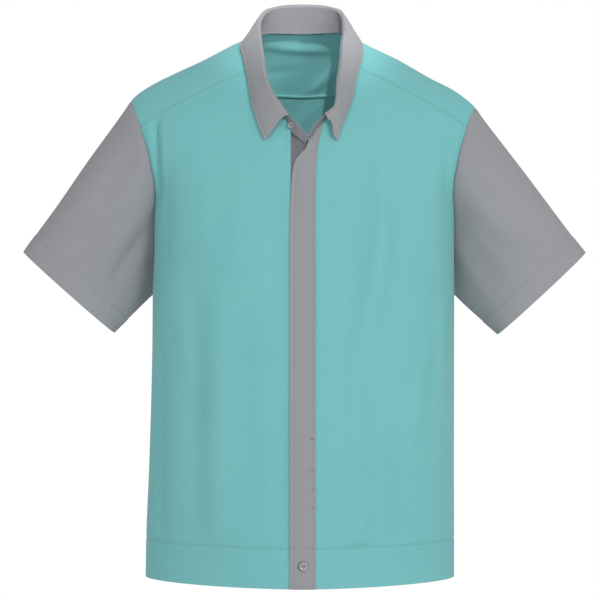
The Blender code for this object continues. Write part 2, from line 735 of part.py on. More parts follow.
def cuff_point(side, turn):
    """Point of the cuff edge: turn 0 is its top end, a quarter turn its front."""
    shape = SLEEVES[side]
    top = Vector((SIDES[side] * shape.top_x, 0.0, shape.top_z))
    under = Vector((SIDES[side] * shape.under_x, 0.0, shape.under_z))
    along = math.cos(turn)
    across = math.sin(turn)
    along = math.copysign(abs(along) ** (2.0 / CUFF_POWER), along)
    across = math.copysign(abs(across) ** (2.0 / CUFF_POWER), across)
    centre = (top + under) / 2.0
    point = centre + (top - under) / 2.0 * along
    point.y = MID_Y - shape.forward - shape.depth / 2.0 * across
    return point


def sleeve_sag(side, turn, s):
    """How far the sleeve sinks, by its turn round the sleeve and its share of the length."""
    total = 0.0
    for fold in SLEEVE_FOLDS:
        if fold.side == side:
            aside = (math.degrees(turn) - fold.turn) / fold.spread
            along = taper((s - fold.start) / (fold.end - fold.start))
            total += fold.depth * along * math.exp(-aside ** 2)
    return total


def sleeve_grids(side):
    """Outer and inner points of a sleeve, rows from the armhole down to the cuff."""
    ring = armhole_ring(side)
    points = [p for p, way in ring]
    count = len(points)
    tip = max(range(count), key=lambda i: points[i].z)
    lengths = [(points[(i + 1) % count] - points[i]).length for i in range(count)]
    front_length = sum(lengths[:tip])
    back_length = sum(lengths[tip:])
    middle = sum(points, Vector()) / count
    cuff_middle = (cuff_point(side, 0.0) + cuff_point(side, math.pi)) / 2.0
    outer = []
    for i in range(SLEEVE_ROWS + 1):
        s = i / SLEEVE_ROWS
        line = []
        for k in range(count):
            if k <= tip:
                turn = math.pi * (1.0 - sum(lengths[:k]) / front_length)
            else:
                turn = -math.pi * sum(lengths[tip:k]) / back_length
            cuff = cuff_point(side, turn)
            way = (cuff - points[k]).normalized()
            start = points[k] + way * SLEEVE_GAP
            point = start.lerp(cuff, s)
            point.y -= CAP_FULLNESS * math.sin(turn) * math.sin(math.pi * s ** CAP_POWER)
            inward = (middle.lerp(cuff_middle, s) - point).normalized()
            line.append(point + inward * sleeve_sag(side, turn, s))
        outer.append(line)
    ways = normals(outer, closed=True)
    if ways[0][tip].dot(points[tip] - middle) < 0.0:
        outer = [list(reversed(line)) for line in outer]
        ring = list(reversed(ring))
        ways = normals(outer, closed=True)
    inner = moved(outer, ways, -CLOTH)
    for k in range(count):
        shared = (ways[0][k] + ring[k][1]).normalized()
        mitre = CLOTH / max(shared.dot(ways[0][k]), MITRE_LIMIT)
        inner[0][k] = outer[0][k] - shared * mitre
    return outer, inner


# ---------------------------------------------------------------- collar
def stand_ends_from(side):
    """Neck and fold points of one side, from centre back to the end of the stand."""
    pairs = []
    for row in COLLAR_BACK + COLLAR_FRONT[side] + STAND_ENDS[side]:
        neck = roll_point(SIDES[side] * row.neck_x, row.neck_roll)
        fold = Vector((SIDES[side] * row.fold_x, MID_Y + row.fold_y, row.fold_z))
        pairs.append((neck, fold))
    return pairs


def stand_grid():
    """The stand, from the left end round the back to the right end, rows from the neck up."""
    left = stand_ends_from("left")
    right = stand_ends_from("right")
    pairs = list(reversed(left)) + right[1:]
    grid = []
    for i in range(STAND_ROWS + 1):
        line = []
        for neck, fold in pairs:
            up = (fold - neck).normalized()
            line.append((neck + up * SEAM_GAP).lerp(fold, i / STAND_ROWS))
        grid.append(line)
    return grid


def fall_edge(side, row):
    """Point of the fall's free edge, held a little off the yoke or front under it."""
    x = SIDES[side] * row.edge_x
    edge = roll_point(x, row.edge_roll)
    behind = roll_point(x, row.edge_roll + EDGE_ROLL_STEP) - edge
    beside = roll_point(x + EDGE_X_STEP, row.edge_roll) - edge
    return edge + beside.cross(behind).normalized() * FALL_LIFT


def fall_grid():
    """The fall, from the left leaf to the right one: rows from its edge up and over the fold."""
    stand = stand_grid()
    ways = normals(stand)[-1]
    left = [("left", row) for row in COLLAR_BACK + COLLAR_FRONT["left"]]
    right = [("right", row) for row in COLLAR_BACK + COLLAR_FRONT["right"]]
    stations = list(reversed(left)) + right[1:]
    columns = []
    for j, (side, row) in enumerate(stations, start=len(STAND_ENDS["left"])):
        fold = stand[-1][j]
        up = (fold - stand[0][j]).normalized()
        edge = fall_edge(side, row)
        column = [fold + up * (COLLAR_CLOTH + FOLD_GAP) - ways[j] * COLLAR_CLOTH]
        for i in range(FALL_ROWS + 1):
            t = (i / FALL_ROWS) ** FALL_BUNCHING
            lift = up * (COLLAR_CLOTH + FOLD_GAP) * (1.0 - t)
            swell = ways[j] * (ROLL_SWELL * (1.0 - t) ** 2 + FALL_BOW * math.sin(math.pi * t))
            column.append(fold.lerp(edge, t) + lift + swell)
        columns.append(column)
    return [[column[i] for column in columns] for i in reversed(range(len(columns[0])))]


# ---------------------------------------------------------------- buttons
def button(name, centre, way, diameter):
    """Turned button lying on the cloth, its face along the given direction."""
    mesh = bpy.data.meshes.new(name)
    shape = bmesh.new()
    bmesh.ops.create_cone(shape, cap_ends=True, segments=BUTTON_SEGMENTS,
                          radius1=diameter / 2.0, radius2=diameter / 2.0, depth=BUTTON_THICK)
    shape.to_mesh(mesh)
    shape.free()
    thing = bpy.data.objects.new(name, mesh)
    bpy.context.scene.collection.objects.link(thing)
    thing.location = centre + way * (GAP + BUTTON_THICK / 2.0)
    thing.rotation_euler = way.to_track_quat("Z", "Y").to_euler()
    mesh.materials.append(material(name, BUTTON_GREY, BUTTON_ROUGHNESS))
    rim = thing.modifiers.new("rounded rim", "BEVEL")
    rim.width = BUTTON_RIM
    rim.segments = 2
    rim.limit_method = "ANGLE"
    return thing


# ---------------------------------------------------------------- build
def clear_scene():
    for thing in list(bpy.data.objects):
        bpy.data.objects.remove(thing, do_unlink=True)


def make_body():
    for side in SIDES:
        cloth("front_" + side, front_grid(side), TEAL)
    cloth("back", back_grid(), TEAL)
    cloth("yoke", yoke_grid(), TEAL)


def make_hem_band():
    for side in SIDES:
        start = under_right(HEM) if side == "right" else fly_right(HEM) - UNDERLAP
        from_angle = girth_angle(start, HEM, side)
        grid = band_strip(side, from_angle, SEAM_ANGLE - SEAM_HALF, FRONT_COLUMNS)
        cloth("band_front_" + side, grid, TEAL)
    cloth("band_back", band_back_grid(), TEAL)


def make_fly():
    lift = CLOTH + LAP_GAP
    under = lap_strip(LAP_ROWS, under_left, under_right, BAND_TOP + SEAM_GAP,
                      UNDER_TOP_LEFT, UNDER_TOP_RIGHT)
    cloth("under_placket", under, GREY)
    fly = lap_strip(LAP_ROWS, fly_left, fly_right, BAND_TOP + SEAM_GAP, FLY_TOP_LEFT, FLY_TOP_RIGHT)
    cloth("placket", fly, GREY, lift=lift)
    tab = lap_strip(BAND_ROWS, fly_left, fly_right, HEM, BAND_TOP - GAP, BAND_TOP - GAP)
    cloth("band_tab", tab, GREY, lift=lift)


def make_sleeves():
    for side in SIDES:
        outer, inner = sleeve_grids(side)
        wall("sleeve_" + side, outer, inner, GREY, closed=True)


def make_collar():
    cloth("collar_stand", stand_grid(), GREY, thickness=COLLAR_CLOTH)
    cloth("collar_fall", fall_grid(), GREY, thickness=COLLAR_CLOTH)


def make_buttons():
    grid = stand_grid()
    ways = normals(grid)
    column = len(grid[0]) - len(STAND_ENDS["right"]) - 1
    row = STAND_ROWS // 2
    lower = grid[row][column].lerp(grid[row][column + 1], STAND_BUTTON_ALONG)
    upper = grid[row + 1][column].lerp(grid[row + 1][column + 1], STAND_BUTTON_ALONG)
    centre = lower.lerp(upper, STAND_BUTTON_UP)
    way = (ways[row][column] + ways[row + 1][column + 1]).normalized()
    button("stand_button", centre + way * BUTTON_STEM, way, STAND_BUTTON)
    low = front_point(BAND_BUTTON_X, BAND_BUTTON_Z)
    face = Vector((0.0, -1.0, 0.0))
    button("band_button", low + face * (CLOTH + LAP_GAP), face, BAND_BUTTON)


def main():
    clear_scene()
    make_body()
    make_hem_band()
    make_fly()
    make_sleeves()
    make_collar()
    make_buttons()


main()
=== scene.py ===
"""Looks of a short-sleeved button-front shirt, filled out as if worn, built over its solids.

Each cloth piece is a thin shell on its solid's surface, read from the same tables, with soft folds,
turned edges, seams, topstitching and a plain weave.
Metres, +Z up, front towards -Y, the wearer's left towards +X.
"""
import math
from bisect import bisect_right
from collections import namedtuple

import bmesh
import bpy
import numpy as np
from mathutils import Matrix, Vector, noise


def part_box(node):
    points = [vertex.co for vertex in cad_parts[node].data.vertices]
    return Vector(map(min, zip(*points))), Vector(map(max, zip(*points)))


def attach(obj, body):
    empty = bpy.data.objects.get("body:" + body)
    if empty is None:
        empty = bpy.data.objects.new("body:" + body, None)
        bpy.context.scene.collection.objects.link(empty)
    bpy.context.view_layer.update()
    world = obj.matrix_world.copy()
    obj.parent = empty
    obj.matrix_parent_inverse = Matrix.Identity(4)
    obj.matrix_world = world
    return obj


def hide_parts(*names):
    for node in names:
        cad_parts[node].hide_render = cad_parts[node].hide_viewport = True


# ---------------------------------------------------------------- sizes shared with the solids
CLOTH = 0.0012
COLLAR_CLOTH = 0.0018
GAP = 0.0003
HEM = -0.744
BAND_TOP = -0.691
UNDERARM = -0.356
LAP_TOP = -0.250
START = {False: -0.330, True: -0.270}     # values for the front (False) and the back (True)
POWER = {False: 1.5, True: 1.7}
SEAM_ANGLE = 5.5
TIP_X = 0.240
YOKE_END_FRONT = -0.130
YOKE_END_BACK = -0.138
YOKE_FAN = 0.100
UNDERLAP = 0.006
UNDER_EDGE = 0.0008
LAP_GAP = 0.0006
FLY_TOP_LEFT = -0.1516
FLY_TOP_RIGHT = -0.1288
UNDER_TOP_LEFT = -0.1440
UNDER_TOP_RIGHT = -0.1655
FOLD_GAP = 0.0022
FALL_LIFT = 0.0040
ROLL_SWELL = 0.0036
FALL_BOW = 0.0018
STAND_BUTTON = 0.0085
BAND_BUTTON = 0.0118
BUTTON_THICK = 0.0022
BAND_BUTTON_X = 0.0008
BAND_BUTTON_Z = -0.7140
CUFF_POWER = 2.3
CAP_FULLNESS = 0.006
CAP_POWER = 0.6
YOKE_AT_NECK = 7
FRONT_AT_NECK = 14
BODY_ROWS = 7
LOWER_ARM_ROWS = 7
ARM_ROWS = 14
FRONT_COLUMNS = 12
HALF_BACK = YOKE_AT_NECK + FRONT_COLUMNS
FOLD_ENDS = 0.7
ARM_BUNCHING = 0.35
SEAM_POWER = 3
TIP_POWER = 4
SIDES = {"right": -1, "left": 1}



def table(fields, *rows):
    """Rows of values that are read by name."""
    row = namedtuple("row", fields)
    return tuple(row(*values) for values in rows)


# ---------------------------------------------------------------- tables shared with the solids
SECTIONS = table(
    "height right left front back power",
    (-0.744, 0.2156, 0.2070, 0.135, 0.128, 1.62),
    (-0.691, 0.2148, 0.2070, 0.135, 0.128, 1.62),
    (-0.600, 0.2110, 0.2069, 0.134, 0.127, 1.72),
    (-0.500, 0.2078, 0.2069, 0.132, 0.127, 1.86),
    (-0.420, 0.2060, 0.2068, 0.131, 0.127, 2.02),
    (-0.356, 0.2052, 0.2068, 0.130, 0.127, 2.18),
    (-0.290, 0.2030, 0.2066, 0.130, 0.127, 2.34),
    (-0.232, 0.2035, 0.2075, 0.130, 0.127, 2.46),
    (-0.210, 0.2085, 0.2120, 0.130, 0.127, 2.50),
    (-0.187, 0.2205, 0.2230, 0.130, 0.127, 2.50),
    (-0.161, 0.2360, 0.2385, 0.130, 0.127, 2.50),
    (-0.130, 0.2600, 0.2620, 0.130, 0.127, 2.50),
    (-0.095, 0.2850, 0.2870, 0.130, 0.127, 2.50),
    (0.060, 0.3100, 0.3100, 0.130, 0.127, 2.50),
)

# Height of the shoulder ridge, from the centre line out.  Inside the neck it only guides the curve.
RIDGE = table(
    "x right left",
    (0.0000, 0.0440, 0.0440),
    (0.0300, 0.0300, 0.0305),
    (0.0600, 0.0035, 0.0050),
    (0.0705, -0.0081, -0.0047),
    (0.0820, -0.0108, -0.0140),
    (0.0925, -0.0147, -0.0198),
    (0.1050, -0.0210, -0.0256),
    (0.1180, -0.0279, -0.0313),
    (0.1300, -0.0345, -0.0370),
    (0.1740, -0.0555, -0.0620),
    (0.2055, -0.0715, -0.0780),
    (0.2285, -0.0865, -0.0950),
    (0.2400, -0.0975, -0.1065),
    (0.2600, -0.1200, -0.1300),
)

# The armhole below the yoke: degrees in front of (-) or behind (+) the widest line of the trunk.
ARMHOLE = table(
    "height front back",
    (-0.356, 5.5, 5.5),
    (-0.344, 4.0, 9.5),
    (-0.325, 2.0, 14.0),
    (-0.295, -1.0, 18.5),
    (-0.262, -4.5, 21.5),
    (-0.232, -11.5, 24.0),
    (-0.210, -18.2, 26.5),
    (-0.187, -25.0, 30.0),
    (-0.161, -30.4, 34.0),
    (-0.130, -35.5, 38.0),
)

# Seams of the yoke: their heights, from the centre line out.
YOKE_SEAMS = table(
    "x front back",
    (0.000, -0.0400, -0.0792),
    (0.045, -0.0480, -0.0769),
    (0.080, -0.0590, -0.0812),
    (0.130, -0.0800, -0.0930),
    (0.180, -0.1060, -0.1120),
    (0.222, -0.1300, -0.1380),
)

# The collar, a row for each station from centre back to the front end of the stand.  The neck
# seam and the edge of the fall are on the trunk: x from the centre line, and degrees of roll
# behind (+) or in front of (-) the shoulder ridge.  The fold is given in space, y from mid depth.
STAND_END = "neck_x neck_roll fold_x fold_y fold_z"
STATION = STAND_END + " edge_x edge_roll"
COLLAR_BACK = table(
    STATION,
    (0.0000, 26.9, 0.0000, 0.0470, 0.0416, 0.0000, 30.3),
    (0.0240, 23.9, 0.0195, 0.0455, 0.0412, 0.0280, 26.8),
    (0.0440, 17.4, 0.0360, 0.0400, 0.0390, 0.0520, 19.1),
    (0.0580, 10.2, 0.0475, 0.0300, 0.0347, 0.0665, 10.0),
)
COLLAR_FRONT = {
    "right": table(
        STATION,
        (0.0668, 3.0, 0.0540, 0.0155, 0.0268, 0.0735, 2.0),
        (0.0695, -8.7, 0.0605, -0.0060, 0.0150, 0.0758, -5.0),
        (0.0690, -20.3, 0.0590, -0.0326, -0.0045, 0.0830, -14.5),
        (0.0665, -27.8, 0.0568, -0.0505, -0.0240, 0.0812, -20.0),
        (0.0625, -32.9, 0.0539, -0.0635, -0.0410, 0.0780, -26.5),
        (0.0570, -37.6, 0.0513, -0.0737, -0.0595, 0.0734, -32.6),
        (0.0505, -41.2, 0.0478, -0.0829, -0.0762, 0.0690, -38.6),
        (0.0410, -44.7, 0.0394, -0.0899, -0.0945, 0.0630, -44.6),
        (0.0315, -47.6, 0.0294, -0.0962, -0.1098, 0.0558, -49.9),
        (0.0240, -49.5, 0.0203, -0.0987, -0.1216, 0.0509, -52.7),
    ),
    "left": table(
        STATION,
        (0.0640, 3.0, 0.0530, 0.0155, 0.0268, 0.0680, 2.0),
        (0.0656, -8.4, 0.0562, -0.0057, 0.0165, 0.0688, -5.0),
        (0.0662, -20.2, 0.0560, -0.0324, -0.0045, 0.0772, -14.0),
        (0.0650, -27.7, 0.0526, -0.0503, -0.0240, 0.0789, -20.0),
        (0.0605, -32.8, 0.0514, -0.0632, -0.0410, 0.0755, -26.6),
        (0.0560, -37.5, 0.0488, -0.0735, -0.0595, 0.0707, -32.6),
        (0.0515, -41.1, 0.0464, -0.0828, -0.0762, 0.0665, -38.6),
        (0.0465, -44.4, 0.0456, -0.0901, -0.0945, 0.0595, -44.3),
        (0.0403, -46.7, 0.0424, -0.0964, -0.1100, 0.0505, -49.7),
        (0.0325, -48.6, 0.0300, -0.0988, -0.1205, 0.0459, -53.4),
    ),
}
# The ends of the stand, past the fall: both run to the foot of the V.  The right end goes on
# under the fly, past the centre line, so its x turns negative.
STAND_ENDS = {
    "right": table(
        STAND_END,
        (0.0165, -52.8, 0.0093, -0.1027, -0.1318),
        (0.0108, -54.0, 0.0027, -0.1052, -0.1390),
        (0.0028, -55.5, -0.0035, -0.1072, -0.1452),
        (-0.0020, -56.2, -0.0078, -0.1083, -0.1500),
    ),
    "left": table(
        STAND_END,
        (0.0260, -50.2, 0.0211, -0.1027, -0.1287),
        (0.0205, -51.7, 0.0138, -0.1057, -0.1366),
        (0.0155, -52.8, 0.0105, -0.1077, -0.1436),
        (0.0118, -53.8, 0.0098, -0.1098, -0.1497),
    ),
}

# Edges of the fly, x against height.
LAP = table(
    "height left right",
    (-0.744, -0.0173, 0.0158),
    (-0.270, -0.0173, 0.0158),
    (-0.234, -0.0161, 0.0160),
    (-0.207, -0.0146, 0.0163),
    (-0.190, -0.0121, 0.0170),
    (-0.180, -0.0086, 0.0176),
    (-0.172, -0.0021, 0.0183),
    (-0.165, 0.0040, 0.0190),
    (-0.1535, 0.0085, 0.0211),
    (-0.1495, 0.0103, 0.0220),
    (-0.1245, 0.0240, 0.0293),
)

SLEEVES = dict(zip(SIDES, table(
    "top_x top_z under_x under_z depth forward",
    (0.3818, -0.3000, 0.2580, -0.4102, 0.070, 0.004),
    (0.3858, -0.3010, 0.2660, -0.4125, 0.070, 0.004),
)))

# The largest folds, soft troughs from a top end to a low end
FOLD = "top_x top_z low_x low_z width depth"
FOLDS = {
    "front": table(
        FOLD,
        (-0.150, -0.235, -0.138, -0.735, 0.026, 0.0045),
        (-0.078, -0.330, -0.072, -0.660, 0.022, 0.0025),
        (0.052, -0.225, 0.078, -0.640, 0.024, 0.0045),
        (0.166, -0.300, 0.158, -0.720, 0.020, 0.0035),
    ),
    "back": table(
        FOLD,
        (-0.112, -0.170, -0.098, -0.735, 0.026, 0.0055),
        (-0.018, -0.260, -0.030, -0.640, 0.024, 0.0030),
        (0.088, -0.150, 0.104, -0.690, 0.028, 0.0060),
        (0.168, -0.330, 0.160, -0.735, 0.018, 0.0030),
    ),
}
# The same for the sleeves: degrees round the sleeve from its top over its front, how many of them
# the fold drifts on its way, and shares of the length from the armhole down.
SLEEVE_FOLD = "turn drift spread start end depth"
SLEEVE_FOLDS = {
    "right": table(
        SLEEVE_FOLD,
        (62.0, 0.0, 20.0, 0.05, 0.80, 0.0040),
        (128.0, 0.0, 20.0, 0.00, 0.75, 0.0045),
        (-95.0, 0.0, 24.0, 0.05, 0.90, 0.0045),
    ),
    "left": table(
        SLEEVE_FOLD,
        (118.0, 0.0, 22.0, 0.00, 0.70, 0.0040),
        (-70.0, 0.0, 22.0, 0.05, 0.75, 0.0035),
        (-132.0, 0.0, 20.0, 0.00, 0.85, 0.0040),
    ),
}

# ---------------------------------------------------------------- the trunk surface
class Curve:
    """Smooth reading of a table's column against its key, without overshoot."""

    def __init__(self, keys, values):
        self.keys = list(keys)
        self.values = list(values)
        last = len(self.keys) - 1
        steps = [(self.values[i + 1] - self.values[i]) / (self.keys[i + 1] - self.keys[i])
                 for i in range(last)]
        self.tangents = [steps[0]]
        for i in range(1, last):
            product = steps[i - 1] * steps[i]
            self.tangents.append(2.0 * product / (steps[i - 1] + steps[i]) if product > 0.0 else 0.0)
        self.tangents.append(steps[-1])

    def __call__(self, at):
        if at <= self.keys[0]:
            return self.values[0]
        if at >= self.keys[-1]:
            return self.values[-1]
        i = bisect_right(self.keys, at) - 1
        span = self.keys[i + 1] - self.keys[i]
        t = (at - self.keys[i]) / span
        return ((2 * t ** 3 - 3 * t ** 2 + 1) * self.values[i]
                + (t ** 3 - 2 * t ** 2 + t) * span * self.tangents[i]
                + (3 * t ** 2 - 2 * t ** 3) * self.values[i + 1]
                + (t ** 3 - t ** 2) * span * self.tangents[i + 1])


def column(rows, name):
    return Curve([row[0] for row in rows], [getattr(row, name) for row in rows])


def stations(rows, name):
    return Curve(range(len(rows)), [getattr(row, name) for row in rows])


HALF = {side: column(SECTIONS, side) for side in SIDES}
DEPTH = {True: column(SECTIONS, "back"), False: column(SECTIONS, "front")}
SQUARE = column(SECTIONS, "power")
RIDGES = {side: column(RIDGE, side) for side in SIDES}
ARM = {True: column(ARMHOLE, "back"), False: column(ARMHOLE, "front")}
YOKE = {True: column(YOKE_SEAMS, "back"), False: column(YOKE_SEAMS, "front")}
FLY_LEFT = column(LAP, "left")
FLY_RIGHT = column(LAP, "right")
STAND = {side: {name: stations(COLLAR_BACK + COLLAR_FRONT[side] + STAND_ENDS[side], name)
                for name in STAND_END.split()} for side in SIDES}
FALL = {side: {name: stations(COLLAR_BACK + COLLAR_FRONT[side], name)
               for name in ("edge_x", "edge_roll")} for side in SIDES}
STATION_COUNT = {side: len(COLLAR_BACK + COLLAR_FRONT[side] + STAND_ENDS[side]) for side in SIDES}
LEAF_END = len(COLLAR_BACK + COLLAR_FRONT["left"]) - 1


def mix(a, b, t):
    return a + (b - a) * t


def clamp(value, low=0.0, high=1.0):
    return min(max(value, low), high)


def ease(t):
    t = clamp(t)
    return t * t * (3.0 - 2.0 * t)


def side_name(x):
    return "right" if x < 0.0 else "left"


def ridge(x):
    return RIDGES[side_name(x)](abs(x))


def rise_of(x, z, back):
    return clamp((z - START[back]) / (ridge(x) - START[back]))


def slope(x, z, back):
    return (1.0 - rise_of(x, z, back) ** POWER[back]) ** (1.0 / POWER[back])


def level_reach(x, z):
    share = min(abs(x) / HALF[side_name(x)](z), 1.0)
    power = SQUARE(z)
    return (1.0 - share ** power) ** (1.0 / power)


def taper(t):
    return math.sin(math.pi * t) ** FOLD_ENDS if 0.0 < t < 1.0 else 0.0


def trough(fold, x, z):
    """Depth of one fold at a place in a front view."""
    run_x = fold.low_x - fold.top_x
    run_z = fold.low_z - fold.top_z
    length = math.hypot(run_x, run_z)
    t = ((x - fold.top_x) * run_x + (z - fold.top_z) * run_z) / length ** 2
    aside = ((x - fold.top_x) * run_z - (z - fold.top_z) * run_x) / length
    if abs(aside) > 3.0 * fold.width:
        return 0.0
    return fold.depth * taper(t) * math.exp(-(aside / fold.width) ** 2)


def sag(x, z, back):
    return sum(trough(fold, x, z) for fold in FOLDS["back" if back else "front"])


MID_Y = CLOTH - DEPTH[True](0.0) * slope(0.0, 0.0, True)


def girth_point(angle, z, side):
    turn = math.radians(angle)
    across = math.cos(turn)
    power = 2.0 / SQUARE(z)
    x = math.copysign(abs(across) ** power, across) * SIDES[side] * HALF[side](z)
    reach = abs(math.sin(turn)) ** power
    back = angle > 0.0
    y = DEPTH[back](z) * reach * slope(x, z, back) - sag(x, z, back) * reach
    return Vector((x, MID_Y + (y if back else -y), z))


def girth_angle(x, z, side, back=False):
    share = min(abs(x) / HALF[side](z), 1.0)
    angle = math.degrees(math.acos(share ** (SQUARE(z) / 2.0)))
    if x * SIDES[side] < 0.0:
        angle = 180.0 - angle
    return angle if back else -angle


def front_point(x, z):
    y = (DEPTH[False](z) * slope(x, z, False) - sag(x, z, False)) * level_reach(x, z)
    return Vector((x, MID_Y - y, z))


def roll_point(x, roll):
    back = roll > 0.0
    turn = math.radians(abs(roll))
    z = START[back] + (ridge(x) - START[back]) * math.cos(turn) ** (2.0 / POWER[back])
    reach = DEPTH[back](z) * math.sin(turn) ** (2.0 / POWER[back])
    y = (reach - sag(x, z, back)) * level_reach(x, z)
    return Vector((x, MID_Y + (y if back else -y), z))


def roll_angle(x, z, back):
    roll = math.degrees(math.acos(rise_of(x, z, back) ** (POWER[back] / 2.0)))
    return roll if back else -roll


# ---------------------------------------------------------------- seams and panels, read anywhere
def arm_height(step, top):
    t = step / ARM_ROWS
    return mix(UNDERARM, top, mix(t, t * t, ARM_BUNCHING))


def yoke_end(side, back):
    z = YOKE_END_BACK if back else YOKE_END_FRONT
    return girth_point(ARM[back](z), z, side)


def neck_seam(side, at):
    return SIDES[side] * STAND[side]["neck_x"](at), STAND[side]["neck_roll"](at)


YOKE_ENDS = {(side, back): yoke_end(side, back) for side in SIDES for back in (True, False)}
YOKE_STARTS = {side: roll_point(*neck_seam(side, YOKE_AT_NECK)) for side in SIDES}
FOOT_Z = {side: roll_point(*neck_seam(side, FRONT_AT_NECK)).z for side in SIDES}


def seam_height(side, x, back):
    start = Vector() if back else YOKE_STARTS[side]
    end = YOKE_ENDS[side, back]
    start_miss = 0.0 if back else start.z - YOKE[back](abs(start.x))
    end_miss = end.z - YOKE[back](abs(end.x))
    return YOKE[back](abs(x)) + mix(start_miss, end_miss, (x - start.x) / (end.x - start.x))


def front_edge(side, z):
    if side == "right":
        return LAP[0].left + UNDER_EDGE
    return FLY_RIGHT(z) - UNDERLAP


def front_row(side, step, shares):
    """One row of a front panel, at shares of its width from the fly out to the armhole."""
    share = max(step - BODY_ROWS, 0) / ARM_ROWS
    top = YOKE_ENDS[side, False]
    outer_z = mix(BAND_TOP, UNDERARM, step / BODY_ROWS)
    outer_angle = SEAM_ANGLE
    inner_z = outer_z
    if share > 0.0:
        outer_z = arm_height(step - BODY_ROWS, top.z)
        outer_angle = ARM[False](outer_z)
        inner_z = mix(UNDERARM, FOOT_Z[side], min((step - BODY_ROWS) / LOWER_ARM_ROWS, 1.0))
    inner_x = front_edge(side, inner_z)
    past_foot = step - BODY_ROWS - LOWER_ARM_ROWS
    if past_foot >= 0:
        inner_x, roll = neck_seam(side, FRONT_AT_NECK - past_foot)
        inner_z = roll_point(inner_x, roll).z
    inner_angle = girth_angle(inner_x, inner_z, side)
    outer_x = girth_point(outer_angle, outer_z, side).x
    line = []
    for t in shares:
        x = mix(inner_x, outer_x, t)
        z = mix(inner_z, outer_z, t)
        if share > 0.0:
            bend = seam_height(side, x, False) - mix(seam_height(side, inner_x, False), top.z, t)
            z += bend * share ** SEAM_POWER
        angle = mix(inner_angle, outer_angle, t)
        if share > 0.0 and 0.0 < t < 1.0:
            angle = mix(angle, girth_angle(x, z, side), share)
        line.append(girth_point(angle, z, side))
    return line


def back_seam_x(side, k):
    fan = SIDES[side] * YOKE_FAN
    if k <= YOKE_AT_NECK:
        return fan * k / YOKE_AT_NECK
    return mix(fan, YOKE_ENDS[side, True].x, (k - YOKE_AT_NECK) / FRONT_COLUMNS)


def back_point(step, across):
    """Point of the back: across runs from 1 at the left side seam to -1 at the right one."""
    side = side_name(across)
    k = abs(across) * HALF_BACK
    top = YOKE_ENDS[side, True]
    share = max(step - BODY_ROWS, 0) / ARM_ROWS
    edge_z = mix(BAND_TOP, UNDERARM, step / BODY_ROWS)
    angle = SEAM_ANGLE
    z = edge_z
    x = back_seam_x(side, k)
    if share > 0.0:
        edge_z = arm_height(step - BODY_ROWS, top.z)
        angle = ARM[True](edge_z)
        seam = seam_height(side, x, True)
        z = UNDERARM + (seam - UNDERARM) * (edge_z - UNDERARM) / (top.z - UNDERARM)
        x *= girth_point(angle, edge_z, side).x / top.x
    angle = mix(90.0, angle, abs(across))
    if share > 0.0 and abs(across) < 1.0:
        angle = mix(angle, girth_angle(x, z, side, True), share)
    return girth_point(angle, z, side)


def yoke_point(across, r):
    """Point of the yoke: across as for the back, r from 0 at the back seam to 1 at the front."""
    side = side_name(across)
    k = abs(across) * HALF_BACK
    front_end = YOKE_ENDS[side, False]
    if k <= YOKE_AT_NECK:
        upper_x, upper_roll = neck_seam(side, k)
    else:
        neck_x = neck_seam(side, YOKE_AT_NECK)[0]
        upper_x = mix(neck_x, front_end.x, (k - YOKE_AT_NECK) / FRONT_COLUMNS)
        upper_roll = roll_angle(upper_x, seam_height(side, upper_x, False), False)
    lower_x = back_seam_x(side, k)
    lower_roll = roll_angle(lower_x, seam_height(side, lower_x, True), True)
    bump = (TIP_X - abs(front_end.x)) * abs(across) ** TIP_POWER * 4.0 * r * (1.0 - r)
    x = mix(lower_x, upper_x, r) + SIDES[side] * bump
    return roll_point(x, mix(lower_roll, upper_roll, r))


def lap_point(left_of, right_of, low, high_left, high_right, height, t):
    """Point of an upright strip: height runs from 0 to 1 up it, t from its left to its right."""
    middle = (high_left + high_right) / 2.0
    level = low + (middle - low) * height
    turn = 0.0
    if high_left > LAP_TOP and level > LAP_TOP:
        turn = (level - LAP_TOP) / (middle - LAP_TOP)
        level = LAP_TOP
    z_left = mix(level, high_left, turn)
    z_right = mix(level, high_right, turn)
    return front_point(mix(left_of(z_left), right_of(z_right), t), mix(z_left, z_right, t))


# ---------------------------------------------------------------- fine looks, sizes in metres
FABRIC = 0.0007           # shown thickness of a single layer
STEP = 0.0052             # spacing of the fine grids
DITCH = 0.0007            # how far a seam is drawn in, and over what width
DITCH_WIDTH = 0.0016
PUCKER = 0.00022          # small waves along a sewn seam
PUCKER_LENGTH = 0.011
PUCKER_WIDTH = 0.007
YARN = 0.00055            # spacing of the yarns in the weave
STITCH = 0.0023           # length, width and height of one stitch, and their spacing
STITCH_WIDTH = 0.00052
STITCH_HEIGHT = 0.00026
STITCH_PITCH = 0.0030
EDGE_STITCH = 0.0018      # rows of topstitching: distance from a seam or an edge
COLLAR_STITCH = 0.0042
STAND_STITCH_LOW = 0.0025
STAND_STITCH_HIGH = 0.0045
TAB_STITCH = 0.0030
TAB_HOLE = 0.0150         # length of the tab's buttonhole
SLEEVE_HEM = 0.0280
FLY_STITCH_LEFT = 0.0058
FLY_STITCH_RIGHT = 0.0032
ALLOWANCE = 0.0045        # half width of the seam allowance on the inside
BORDERS = ("low", "high", "first", "last")


def spaced(length, step, fine_start=True, fine_end=True):
    """Shares from 0 to 1, a step apart, with closer ones where the cloth turns at its ends."""
    near = [d / length for d in (0.0007, 0.0015, 0.0030)]
    shares = [0.0] + (near if fine_start else [])
    count = max(int(round(length / step)), 2)
    last = 1.0 - (near[-1] if fine_end else 0.0)
    for i in range(1, count):
        if shares[-1] + 0.4 / count < i / count < last - 0.4 / count:
            shares.append(i / count)
    if fine_end:
        shares += [1.0 - d for d in reversed(near)]
    return shares + [1.0]


def bell(x):
    return np.exp(-x ** 2)


